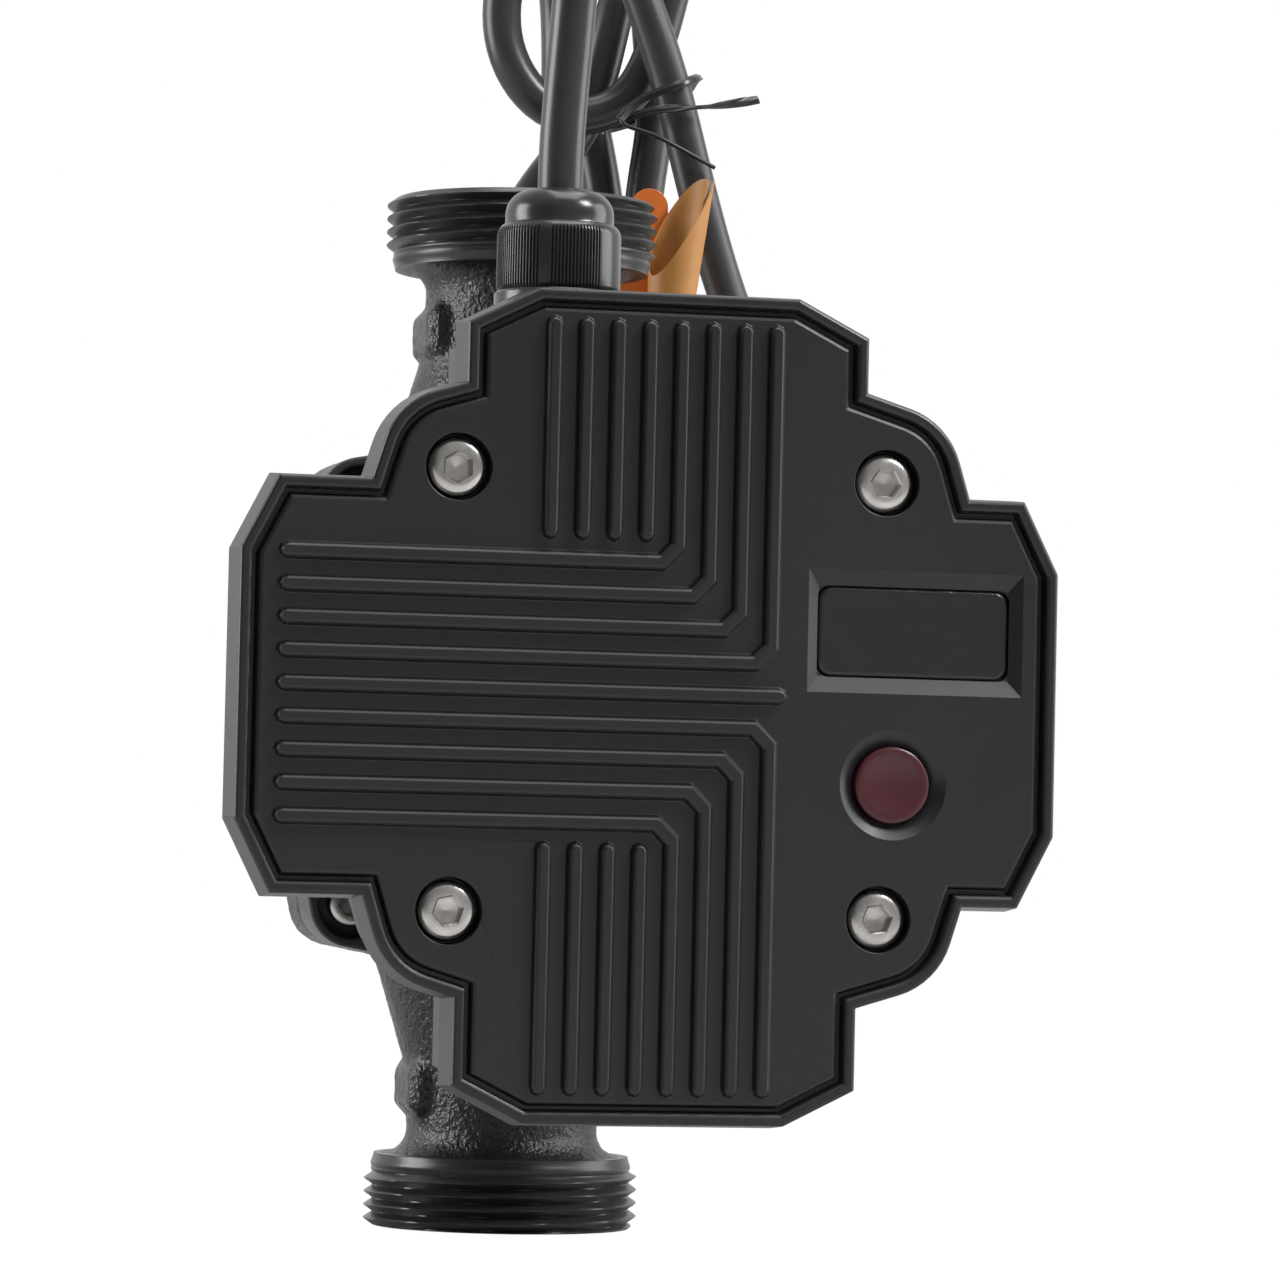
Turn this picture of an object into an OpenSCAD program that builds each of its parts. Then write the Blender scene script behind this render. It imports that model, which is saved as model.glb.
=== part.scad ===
// Wet-rotor circulation pump: two threaded ports in line, a cast volute, a canned motor
// and a flat control box with a ribbed front cover.
// The port axis is Z, the motor axis is Y and the front cover faces -Y.
// The origin is the centre of the lower port's end face.

/* [Ports and pump body] */
// Distance from one port face to the other
port_gap = 180; // [170:1:200]
// Outer diameter of the threaded port rings
port_od = 47.8; // [46:0.1:50]
// Length of the threaded ring
port_thread_l = 10.5; // [9:0.5:13]
// Chamfer on the outer edge of each port
port_chamfer = 1.3; // [0.5:0.1:2]
// Bore of the lower, suction port
port_bore = 28; // [20:0.5:29]
// Bore of the upper, discharge port
outlet_bore = 27; // [20:0.5:29]
// Diameter of the cast shoulder behind the thread
shoulder_od = 44.6; // [42:0.2:46]
// Length of the cast shoulder
shoulder_l = 2; // [1:0.5:4]
// Diameter of the necks
neck_od = 33.4; // [32:0.2:36]
// Radius of the fillet between shoulder and neck
neck_fillet = 4; // [2:0.5:5]
// Length over which each neck widens into the volute
taper_l = 24; // [18:1:28]
// Diameter of each neck where it meets the volute
taper_od = 48; // [44:1:54]
// Distance of the widening neck's wide end from the motor axis
taper_end = 40; // [36:1:42]
// Width of the cast wrench block on each neck
boss_w = 36; // [34:0.5:42]
// Depth of the wrench block
boss_d = 18; // [14:0.5:24]
// Height of the wrench block
boss_h = 10.3; // [8:0.1:12]
// Distance of the wrench block from its port face
boss_z = 19; // [18:0.5:22]
// Chamfer on the wrench block
boss_chamfer = 2; // [1:0.25:3]
// Diameter of the volute
volute_od = 88; // [84:1:92]
// Distance of the volute's back from the port axis
volute_back = 27; // [25:0.5:32]
// Rounding of the volute's back edge
volute_round = 9; // [4:0.5:12]
// Distance of the flange's back from the port axis
flange_back = 14; // [12:0.5:16]
// Thickness of the volute's flange
flange_t = 11.5; // [10:0.5:14]
// Diameter of the flange between its lugs
flange_od = 93.6; // [90:0.2:96]
// Distance between neighbouring flange screws
lug_span = 68.1; // [66:0.1:70]
// Radius of the lugs
lug_r = 7.2; // [7:0.1:8.5]

/* [Wet end] */
// Diameter of the impeller chamber
chamber_od = 68; // [66:0.5:70]
// Thickness of the wall between impeller and suction chamber
partition_t = 4; // [3:0.5:5]
// Depth of the suction chamber
suction_d = 18; // [16:0.5:19]
// Diameter of the suction chamber
suction_od = 42; // [36:1:46]
// Width of the suction channel
suction_w = 26; // [20:1:28]
// Width of the discharge channel
discharge_w = 18; // [14:1:20]
// Depth of the discharge channel
discharge_d = 11; // [8:0.5:11]
// Outer diameter of the neck ring
neck_ring_od = 26; // [25:0.5:28]
// Inner diameter of the neck ring
neck_ring_id = 22; // [21.5:0.1:23]
// Outer diameter of the impeller
impeller_od = 60; // [54:1:62]
// Diameter of the impeller's eye
eye_id = 18; // [16:0.5:19]
// Thickness of each impeller shroud
shroud_t = 1.8; // [1.4:0.1:2.2]
// Width of the impeller's outlet between its shrouds
blade_w = 6; // [4:0.5:7]
// Number of impeller blades
blades = 6; // [5:1:8]
// Thickness of a blade
blade_t = 1.6; // [1.2:0.1:2.4]
// Diameter of the impeller's hub
hub_od = 13; // [12:0.5:15]
// Diameter of the rotor shaft
shaft_d = 8; // [6:0.5:8]
// Thickness of the bearing plate
plate_t = 3.5; // [3:0.5:4]
// Outer diameter of the bearings
bearing_od = 15; // [14:0.5:16]
// Length of the bearings
bearing_l = 8; // [6:0.5:10]
// Running clearance of the shaft in its bearings, on the radius
shaft_clear = 0.05; // [0.03:0.01:0.08]

/* [Motor] */
// Thickness of the motor's flange
motor_flange_t = 11.5; // [10:0.5:14]
// Outer diameter of the motor housing
motor_od = 86; // [84:1:90]
// Length of the motor housing in front of its flange
motor_l = 53; // [50:1:60]
// Wall of the motor housing
motor_wall = 3.5; // [2.5:0.25:4]
// Diameter of the counterbores in the lugs
lug_bore = 11.4; // [9:0.2:12.4]
// Depth of the counterbores
lug_bore_l = 5.5; // [4.5:0.5:7]
// Outer diameter of the rotor can
can_od = 33; // [32:0.5:35]
// Wall of the rotor can
can_wall = 0.6; // [0.5:0.1:1]
// Outer diameter of the rotor magnet
magnet_od = 30; // [28:0.5:30]
// Length of the rotor magnet
magnet_l = 32; // [28:1:33]
// Outer diameter of the stator core
stator_od = 78; // [76:0.5:78]
// Length of the stator core
stator_l = 30; // [26:1:32]
// Thickness of the stator's outer ring
yoke_t = 6; // [5:0.5:7]
// Number of stator teeth
teeth = 6; // [6:1:6]
// Width of a stator tooth
tooth_w = 8; // [7:0.5:9]
// Thread diameter of the motor screws
motor_screw_d = 4; // [3.5:0.1:4.5]
// Head diameter of the motor screws
motor_head_d = 7; // [6.6:0.1:8]
// Head height of the motor screws
motor_head_h = 4; // [3.5:0.5:4.5]
// Length of the motor screws under the head
motor_screw_l = 14; // [12:1:15]

/* [Control box] */
// Distance of the cover's left end from the motor axis
arm_left = 67.6; // [66:0.1:70]
// Distance of the cover's right end from the motor axis
arm_right = 62.2; // [61:0.1:66]
// Distance of the cover's upper end from the motor axis
arm_top = 62.2; // [61:0.1:66]
// Distance of the cover's lower end from the motor axis
arm_bottom = 66.4; // [65:0.1:70]
// Width of an arm of the cover at its end
arm_end_w = 41.2; // [38:0.2:44]
// Width of an arm of the cover behind its chamfers
arm_w = 63.8; // [62:0.2:64.4]
// Length of the chamfers along the arm
arm_chamfer = 5.7; // [4:0.1:8]
// Sideways offset of the vertical arms
arm_shift = 1.2; // [0:0.1:2]
// Radius of the four corner lobes
lobe_r = 12.3; // [11.5:0.1:13]
// Angle of the lobe flanks off the arm's direction
lobe_flank = 17; // [14:1:20]
// Distance between neighbouring cover screws
screw_span = 68.1; // [67:0.1:69]
// Depth of the cover's side wall
cover_d = 8; // [7.5:0.5:10]
// Amount by which the side wall flares out to its back edge
cover_flare = 0.6; // [0:0.1:1]
// Width of the raised rim round the cover's face
rim_w = 1.9; // [1.6:0.1:2.5]
// Width of the groove inside the rim
groove_w = 0.9; // [0.7:0.1:1.5]
// Depth of the groove
groove_depth = 2; // [1:0.1:2.4]
// Height of the rim above the cover's face
rim_rise = 0.5; // [0.3:0.1:0.8]
// Radius of the soft edges on rim and face
edge_r = 0.6; // [0.4:0.1:0.8]
// Thickness of the cover's face
face_t = 3; // [2.8:0.1:3.2]
// Wall of the cover and of the box
box_wall = 2.5; // [2:0.1:2.8]
// Inset of the box's outline behind the cover's
box_inset = 3; // [2.5:0.1:3.4]
// Depth of the box behind the cover
box_d = 22.9; // [22:0.1:26]
// Thickness of the seal between box and cover
seal_t = 0.8; // [0.5:0.1:1]
// Distance between neighbouring ribs
rib_pitch = 5.05; // [4.8:0.05:5.1]
// Width of a rib at its foot
rib_foot_w = 3; // [2.6:0.1:3.2]
// Width of a rib at its crest
rib_crest_w = 1.3; // [1:0.1:1.6]
// Height of the ribs
rib_h = 1.6; // [1:0.1:2]
// Distance of the first upright rib from the motor axis
rib_first = 19.6; // [19:0.1:20]
// Chamfer of the ribs' bends, along their centre lines
rib_turn = 2.6; // [2:0.1:3]
// Distance of the rib ends from the ends of the arms
rib_end = 5.6; // [5:0.1:8]
// Distance of the left rib ends from the end of the left arm
rib_end_left = 7.2; // [6:0.1:9]
// Gap between the short ribs and the outermost bent rib
rib_short_gap = 4.3; // [3.5:0.1:5]
// Width of the display's sunk frame
frame_w = 34.8; // [33:0.1:35.4]
// Height of the display's sunk frame
frame_h = 19.2; // [18:0.1:21]
// Depth of the display's sunk frame
frame_depth = 1.6; // [1:0.1:1.8]
// Width of the display window
window_w = 30.8; // [29:0.1:31]
// Height of the display window
window_h = 14; // [12:0.1:15]
// Corner radius of the display window
window_r = 1.8; // [1:0.1:3]
// Distance of the display's centre to the right of the motor axis
display_x = 39.2; // [38:0.1:40]
// Height of the display's centre above the motor axis
display_z = 10.7; // [10:0.1:12]
// Diameter of the power button
button_d = 12; // [10:0.1:12.5]
// Diameter of the dish round the button
dish_d = 17.2; // [15.5:0.1:17.6]
// Distance of the button to the right of the motor axis
button_x = 36; // [34:0.1:38]
// Distance of the button below the motor axis
button_z = 13.1; // [12.5:0.1:15]
// Travel of the button
button_travel = 1; // [0.5:0.1:1.2]
// Head diameter of the cover screws
cover_head_d = 9.5; // [8.5:0.1:9.8]
// Head height of the cover screws
cover_head_h = 2.8; // [2.4:0.1:3]
// Thread diameter of the cover screws
cover_screw_d = 5; // [4:0.1:5]
// Length of the cover screws under the head
cover_screw_l = 14; // [12:1:18]
// Width across flats of the screws' sockets
hex_af = 4; // [3:0.1:4]
// Diameter of the counterbores for the cover screws
cover_bore_d = 10.4; // [10:0.1:11]

/* [Cable gland and cable] */
// Distance of the gland to the left of the motor axis
gland_x = 15; // [13:0.1:17]
// Diameter of the gland's base
gland_base_d = 20.2; // [19:0.1:21]
// Height of the gland's base
gland_base_h = 6; // [4:0.1:7]
// Diameter of the gland's nut
gland_nut_d = 19.6; // [18.6:0.1:20.2]
// Height of the gland's nut
gland_nut_h = 9.2; // [8:0.1:10]
// Diameter of the gland's dome
gland_dome_d = 17.2; // [16.8:0.1:18]
// Height of the gland's dome
gland_dome_h = 5.3; // [4.5:0.1:6]
// Thread diameter of the gland
gland_thread_d = 15; // [14:0.1:15.6]
// Diameter of the cable
cable_d = 7.2; // [6.8:0.1:7.4]
// Diameter of the twist tie's wire
tie_d = 1.8; // [1.4:0.1:2]
// Outer diameter of the rolled tag
tag_d = 12.4; // [11:0.1:12.6]
// Thickness of the tag's sheet
tag_t = 0.6; // [0.4:0.1:0.8]
// Diameter of the plug's head
plug_d = 37; // [34:0.5:40]
// Length of the plug's head
plug_head_l = 18; // [15:1:22]
// Length of the plug's grip
plug_grip_l = 32; // [26:1:36]
// Diameter of the plug's pins
plug_pin_d = 4.8; // [4.8:0.1:5]
// Length of the plug's pins
plug_pin_l = 19; // [18:0.5:20]
// Distance between the plug's pins
plug_pin_span = 19; // [18:0.5:20]

/* [Hidden] */
$fn = 64;
// Overrun of every cut past the face that it opens
cut = 1;
// Gap between pieces that must not touch
gap = 0.3;
// Fit clearance on the radius
fit = 0.15;

// Depths count from the port axis towards the front.
axis_z = port_gap / 2;
flange_face = flange_back + flange_t;
lug_face = flange_face + motor_flange_t;
motor_end = lug_face + motor_l;
box_front = motor_end + box_d;
cover_back = box_front + seal_t;
rim_top = cover_back + cover_d;
face_top = rim_top - rim_rise;
face_back = face_top - face_t;

// Wet end, from the back of the suction chamber to the front
partition_back = 0;
partition_front = partition_back + partition_t;
impeller_back = partition_front + 2 * shroud_t;
impeller_front = impeller_back + 2 * shroud_t + blade_w;
plate_back = flange_face - plate_t;
bearing_front = plate_back + bearing_l;
thrust_t = 2.2;
can_start = flange_face;
motor_floor = motor_flange_t / 2;
coil_over = 5;
can_end = motor_end - 9;
rear_bearing_back = can_end - can_wall - bearing_l;
stator_back = flange_face + motor_floor + coil_over + gap;
magnet_back = stator_back - (magnet_l - stator_l) / 2;
shaft_back = impeller_front - 5;
shaft_front = can_end - can_wall - gap;
o_ring_r = 1;
o_ring_seat = 2 * o_ring_r;

// Control box, inside
post_d = 9;
pcb_t = 1.6;
pcb_front = box_front - 4.3;
pcb_half_h = 26;
standoff_x = 44;
standoff_z = 21;
standoff_d = 6;
pcb_screw_d = 2.6;
pcb_head_d = 5;
pcb_head_h = 2;
cover_seat = face_top - cover_head_h - 0.6;
boss_back_d = cover_bore_d + 2 * box_wall;

// Gland, from the box's upper wall
gland_y = -(motor_end + box_front) / 2;
box_top = axis_z + arm_top - box_inset;
gland_base_top = box_top + gland_base_h;
gland_nut_top = gland_base_top + gland_nut_h;
gland_top = gland_nut_top + gland_dome_h;

// Depth placing: a slab lies between two depths, with x and the height off the motor axis
// as its outline's coordinates.
module slab(d0, d1) {
    translate([0, -d0, axis_z]) rotate([90, 0, 0]) linear_extrude(d1 - d0) children();
}

// A rod along the motor axis' direction between two depths
module rod(dia, d0, d1, x = 0, z = 0) {
    translate([x, -d0, axis_z + z]) rotate([90, 0, 0]) cylinder(d = dia, h = d1 - d0);
}

// A revolved body round the motor axis, its profile in radius and depth
module turned() {
    translate([0, 0, axis_z]) rotate([90, 0, 0]) rotate_extrude() children();
}

// The four places of a square pattern
module at_four(span) {
    for (sx = [-1, 1], sz = [-1, 1]) translate([sx * span / 2, sz * span / 2]) children();
}

// Copies a lower port feature to the upper port
module both_ports() {
    children();
    translate([0, 0, port_gap]) mirror([0, 0, 1]) children();
}

function unit(v) = v / norm(v);
function inward(a, b) = let (u = unit(b - a)) [-u[1], u[0]];
function meet(p, u, q, v) =
    let (den = u[0] * v[1] - u[1] * v[0],
         s = ((q[0] - p[0]) * v[1] - (q[1] - p[1]) * v[0]) / den)
    p + s * u;
// Parallel outline of a closed list of corners, inset by t
function inset(pts, t) = let (n = len(pts))
    [for (i = [0 : n - 1])
        let (a = pts[(i + n - 1) % n], b = pts[i], c = pts[(i + 1) % n])
        meet(b + inward(a, b) * t, b - a, b + inward(b, c) * t, c - b)];
function flip(l) = [for (i = [len(l) - 1 : -1 : 0]) l[i]];

// One quarter of the cover's outline, from a side arm over the corner lobe to an upright arm
lobe_steps = 8;
function quarter(sx, sz, side, high) =
    let (c = screw_span / 2,
         tan_f = tan(lobe_flank),
         reach = c + lobe_r * cos(lobe_flank),
         rise = c + lobe_r * sin(lobe_flank),
         edge = arm_w / 2,
         post = arm_w / 2 - sx * arm_shift)
    concat(
        [[sx * side, sz * arm_end_w / 2],
         [sx * (side - arm_chamfer), sz * edge],
         [sx * (reach + (rise - edge) * tan_f), sz * edge]],
        [for (i = [0 : lobe_steps])
            let (a = lobe_flank + (90 - 2 * lobe_flank) * i / lobe_steps)
            [sx * (c + lobe_r * cos(a)), sz * (c + lobe_r * sin(a))]],
        [[sx * post, sz * (reach + (rise - post) * tan_f)],
         [sx * post, sz * (high - arm_chamfer)],
         [sx * (arm_end_w / 2) - arm_shift, sz * high]]);
cover_pts = concat(
    quarter(1, 1, arm_right, arm_top), flip(quarter(-1, 1, arm_left, arm_top)),
    quarter(-1, -1, arm_left, arm_bottom), flip(quarter(1, -1, arm_right, arm_bottom)));

// The cover's outline, inset by t
module outline(t = 0) { polygon(inset(cover_pts, t)); }

// Triangles between two neighbouring rings of n points
function band(n, low, high) = [for (i = [0 : n - 1]) let (j = (i + 1) % n)
    each [[high + i, high + j, low + j], [high + i, low + j, low + i]]];
// Triangles across a ring whose first point lies on its line of symmetry
function lid(n, at, back) = n == 4 ? [[for (i = back ? [0 : 3] : [3 : -1 : 0]) at + i]] :
    [for (i = [0 : n / 2 - 1])
        let (a = at + i, b = at + i + 1, c = at + n - 1 - i, d = at + (n - i) % n)
        each concat(
            b == c ? [] : [back ? [a, b, c] : [c, b, a]],
            a == d ? [] : [back ? [a, c, d] : [d, c, a]])];
// A solid skinned over rings of equal, even counts of points, the first ring at the back
module skin(rings) {
    n = len(rings[0]);
    m = len(rings);
    polyhedron(
        points = [for (r = rings) each r],
        faces = concat(lid(n, 0, true), [for (k = [0 : m - 2]) each band(n, k * n, (k + 1) * n)],
            lid(n, (m - 1) * n, false)),
        convexity = 10);
}
// A closed frame skinned over rings, from its outer back edge round its section
module frame_skin(rings) {
    n = len(rings[0]);
    m = len(rings);
    polyhedron(
        points = [for (r = rings) each r],
        faces = [for (k = [0 : m - 1]) each band(n, k * n, ((k + 1) % m) * n)],
        convexity = 10);
}

// Places an outline's corners at a depth
function ring_at(pts, d) = [for (p = pts) [p[0], -d, axis_z + p[1]]];

// Outline of a rib with round ends along a path of points
cap_steps = 4;
function rib_outline(path, w) =
    let (n = len(path),
         u0 = unit(path[1] - path[0]),
         u1 = unit(path[n - 1] - path[n - 2]),
         a0 = atan2(u0[1], u0[0]),
         a1 = atan2(u1[1], u1[0]))
    concat(
        [for (i = [cap_steps / 2 : cap_steps]) rib_cap(path[0], a0 + 90, i, w)],
        n < 3 ? [] : [for (i = [1 : n - 2]) rib_corner(path, i, -w / 2)],
        [for (i = [0 : cap_steps]) rib_cap(path[n - 1], a1 - 90, i, w)],
        n < 3 ? [] : [for (i = [n - 2 : -1 : 1]) rib_corner(path, i, w / 2)],
        [for (i = [0 : cap_steps / 2 - 1]) rib_cap(path[0], a0 + 90, i, w)]);
function rib_cap(p, start, i, w) = let (a = start + 180 * i / cap_steps)
    p + w / 2 * [cos(a), sin(a)];
function rib_corner(path, i, t) =
    meet(path[i] + inward(path[i - 1], path[i]) * t, path[i] - path[i - 1],
         path[i] + inward(path[i], path[i + 1]) * t, path[i + 1] - path[i]);
module rib(path) {
    skin([ring_at(rib_outline(path, rib_foot_w), face_top - edge_r),
          ring_at(rib_outline(path, (rib_foot_w + rib_crest_w) / 2), face_top + rib_h * 0.75),
          ring_at(rib_outline(path, rib_crest_w), face_top + rib_h)]);
}

// Outline of the flange: a disc with four lugs joined to it by tangent webs
module flange_outline() {
    lug_c = lug_span / 2;
    reach = lug_c * sqrt(2);
    tilt = acos((flange_od / 2 - lug_r) / reach);
    circle(d = flange_od);
    for (q = [45 : 90 : 315]) rotate(q) {
        translate([reach, 0]) circle(r = lug_r);
        polygon([[0, 0], flange_od / 2 * [cos(tilt), -sin(tilt)],
            [reach, 0] + lug_r * [cos(tilt), -sin(tilt)],
            [reach, 0] + lug_r * [cos(tilt), sin(tilt)],
            flange_od / 2 * [cos(tilt), sin(tilt)]]);
    }
}

// A slot-shaped channel outline, round at both ends
module slot(w, d) {
    square([w - d, d], center = true);
    for (s = [-1, 1]) translate([s * (w - d) / 2, 0]) circle(d = d);
}

module chamfered_block(w, d, h, c) {
    hull() {
        cube([w - 2 * c, d - 2 * c, h], center = true);
        cube([w, d - 2 * c, h - 2 * c], center = true);
        cube([w - 2 * c, d, h - 2 * c], center = true);
    }
}

module port_body() {
    cylinder(d1 = port_od - 2 * port_chamfer, d2 = port_od, h = port_chamfer);
    translate([0, 0, port_chamfer]) cylinder(d = port_od, h = port_thread_l - port_chamfer);
    translate([0, 0, port_thread_l - cut]) cylinder(d = shoulder_od, h = shoulder_l + cut);
    translate([0, 0, port_thread_l]) cylinder(d = neck_od, h = axis_z - taper_end - port_thread_l);
    translate([0, 0, port_thread_l + shoulder_l]) rotate_extrude() difference() {
        square([neck_od / 2 + neck_fillet, neck_fillet]);
        translate([neck_od / 2 + neck_fillet, neck_fillet]) circle(r = neck_fillet);
    }
    translate([0, 0, axis_z - taper_end - taper_l])
        cylinder(d1 = neck_od, d2 = taper_od, h = taper_l);
    translate([0, 0, axis_z - taper_end]) cylinder(d = taper_od, h = taper_end / 2);
    translate([0, 0, boss_z + boss_h / 2]) chamfered_block(boss_w, boss_d, boss_h, boss_chamfer);
}

module pump_housing() {
    channel_top = axis_z - suction_od / 3;
    bore_l = axis_z - chamber_od / 2 - 2 * shoulder_od / 4 + port_thread_l;
    duct_d = suction_d - 2;
    color([0.12, 0.12, 0.13]) difference() {
        union() {
            both_ports() port_body();
            slab(-volute_back + volute_round, flange_face) circle(d = volute_od);
            turned() {
                translate([0, -volute_back]) square([volute_od / 2 - volute_round, volute_back]);
                translate([volute_od / 2 - volute_round, -volute_back + volute_round])
                    circle(r = volute_round);
            }
            slab(flange_back, flange_face) flange_outline();
        }
        translate([0, 0, -cut]) cylinder(d = port_bore, h = bore_l + cut);
        translate([0, 0, port_gap - bore_l]) cylinder(d = outlet_bore, h = bore_l + cut);
        // suction side: channel and chamber behind the partition
        translate([0, duct_d / 2 + 1, bore_l - duct_d / 2])
            linear_extrude(channel_top - bore_l + duct_d / 2) slot(suction_w, duct_d);
        rod(suction_od, -suction_d, -partition_back);
        rod(neck_ring_od, -suction_d, partition_front + cut);
        // pressure side: impeller chamber and outlet channel
        rod(chamber_od, partition_front, flange_face + cut);
        translate([0, -partition_front - discharge_d / 2, axis_z])
            linear_extrude(port_gap - axis_z - bore_l + discharge_d / 2)
                slot(discharge_w, discharge_d);
        // seat of the sealing ring and the screw holes
        rod(chamber_od + 6 * o_ring_r, flange_face - o_ring_seat, flange_face + cut);
        slab(flange_back + fit * 10, flange_face + cut)
            at_four(lug_span) circle(d = motor_screw_d);
    }
}

module neck_ring() {
    color([0.72, 0.73, 0.74]) difference() {
        rod(neck_ring_od, partition_back, partition_front + shroud_t / 2);
        rod(neck_ring_id, partition_back - cut, partition_front + shroud_t / 2 + cut);
    }
}

module impeller() {
    blade_r = impeller_od * 0.3;
    color([0.55, 0.53, 0.48]) {
        difference() {
            union() {
                rod(impeller_od, impeller_back, impeller_back + shroud_t);
                rod(impeller_od, impeller_front - shroud_t, impeller_front);
                rod(hub_od, impeller_back + shroud_t, impeller_front + shroud_t);
                rod(neck_ring_id - 2 * gap, partition_front, impeller_back + shroud_t);
                slab(impeller_back + shroud_t / 2, impeller_front - shroud_t / 2) intersection() {
                    difference() {
                        circle(d = impeller_od);
                        circle(d = hub_od);
                    }
                    for (i = [0 : blades - 1]) rotate(i * 360 / blades) intersection() {
                        translate([blade_r, 0]) difference() {
                            circle(r = blade_r + blade_t / 2);
                            circle(r = blade_r - blade_t / 2);
                        }
                        translate([0, impeller_od / 2])
                            square([2 * impeller_od, impeller_od], center = true);
                    }
                }
            }
            rod(eye_id, partition_front - cut, impeller_back + shroud_t);
            rod(shaft_d, shaft_back, impeller_front + shroud_t + cut);
        }
    }
}

module rotor_shaft() {
    color([0.85, 0.85, 0.86]) rod(shaft_d, shaft_back, shaft_front);
}

module thrust_ring() {
    color([0.3, 0.3, 0.32]) difference() {
        rod(bearing_od - cut, bearing_front + gap, bearing_front + gap + thrust_t);
        rod(shaft_d, bearing_front, bearing_front + thrust_t + cut);
    }
}

module rotor_magnet() {
    color([0.4, 0.4, 0.42]) difference() {
        rod(magnet_od, magnet_back + gap, magnet_back + gap + magnet_l);
        rod(shaft_d, magnet_back, magnet_back + magnet_l + cut);
    }
}

module bearing_at(d0) {
    difference() {
        rod(bearing_od, d0, d0 + bearing_l);
        rod(shaft_d + 2 * shaft_clear, d0 - cut, d0 + bearing_l + cut);
    }
}

module front_bearing() { color([0.2, 0.2, 0.21]) bearing_at(plate_back); }
module rear_bearing() { color([0.2, 0.2, 0.21]) bearing_at(rear_bearing_back); }

module bearing_plate() {
    color([0.7, 0.71, 0.73]) difference() {
        union() {
            rod(chamber_od - 2 * fit, plate_back, flange_face);
            rod(bearing_od + 2 * plate_t, plate_back, bearing_front);
        }
        rod(bearing_od, plate_back - cut, bearing_front + cut);
    }
}

module rotor_can() {
    cup_d = bearing_od + 4 * can_wall;
    color([0.72, 0.73, 0.75]) {
        difference() {
            union() {
                rod(chamber_od - 2 * fit, can_start, can_start + can_wall);
                rod(can_od, can_start, can_end);
            }
            rod(can_od - 2 * can_wall, can_start - cut, can_end - can_wall);
        }
        difference() {
            rod(cup_d, rear_bearing_back, can_end - can_wall / 2);
            rod(bearing_od, rear_bearing_back - cut, can_end - can_wall);
        }
    }
}

module housing_o_ring() {
    color([0.1, 0.1, 0.1]) turned()
        translate([chamber_od / 2 + 1.5 * o_ring_r, flange_face - o_ring_r]) circle(r = o_ring_r);
}

stator_id = can_od + 4 * gap;
module stator_core() {
    slot_w = tooth_w / 3;
    shoe_t = 2.5;
    color([0.5, 0.5, 0.52]) slab(stator_back, stator_back + stator_l) difference() {
        union() {
            difference() {
                circle(d = stator_od);
                circle(d = stator_od - 2 * yoke_t);
            }
            for (i = [0 : teeth - 1]) rotate(i * 360 / teeth)
                translate([stator_id / 2 + shoe_t / 2, -tooth_w / 2])
                    square([(stator_od - stator_id - shoe_t) / 2 - yoke_t / 2, tooth_w]);
            difference() {
                circle(d = stator_id + 2 * shoe_t);
                for (i = [0 : teeth - 1]) rotate((i + 0.5) * 360 / teeth)
                    translate([0, -slot_w / 2]) square([stator_od / 2, slot_w]);
            }
        }
        circle(d = stator_id);
    }
}

module stator_coils() {
    coil_in = stator_id / 2 + 2.5 + gap;
    coil_t = min((2 * coil_in * tan(180 / teeth) - tooth_w - 2 * gap) / 2 - gap, coil_over - gap);
    coil_half_w = tooth_w / 2 + gap + coil_t;
    coil_l = sqrt(pow(stator_od / 2 - yoke_t, 2) - pow(coil_half_w, 2)) - gap - coil_in;
    color([0.62, 0.33, 0.16])
        translate([0, -stator_back - stator_l / 2, axis_z])
            for (i = [0 : teeth - 1]) rotate([0, i * 360 / teeth, 0])
                translate([coil_in + coil_l / 2, 0, 0]) difference() {
                    cube([coil_l, stator_l + 2 * coil_t, 2 * coil_half_w],
                        center = true);
                    cube([coil_l + 2 * cut, stator_l + 2 * gap, tooth_w + 2 * gap], center = true);
                }
}

module motor_housing() {
    color([0.11, 0.11, 0.12]) difference() {
        union() {
            slab(flange_face, lug_face) flange_outline();
            slab(lug_face - cut, motor_end) circle(d = motor_od);
        }
        rod(motor_od - 2 * motor_wall, flange_face + motor_floor, motor_end + cut);
        rod(can_od + 2 * fit, flange_face - cut, motor_end);
        rod(chamber_od, flange_face - cut, flange_face + can_wall);
        rod(bearing_od + 2 * plate_t + 2 * gap, flange_face - cut, bearing_front + gap);
        slab(flange_face - cut, lug_face + cut) at_four(lug_span) circle(d = motor_screw_d + 2 * gap);
        slab(lug_face - lug_bore_l, lug_face + cut) at_four(lug_span) circle(d = lug_bore);
    }
}

module motor_screws() {
    seat = lug_face - lug_bore_l;
    color([0.75, 0.76, 0.78]) difference() {
        union() {
            slab(seat, seat + motor_head_h) at_four(lug_span) circle(d = motor_head_d);
            slab(seat - motor_screw_l, seat + cut) at_four(lug_span) circle(d = motor_screw_d);
        }
        slab(seat + motor_head_h / 2, seat + motor_head_h + cut)
            at_four(lug_span) circle(d = motor_screw_d * 0.85, $fn = 6);
    }
}

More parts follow.
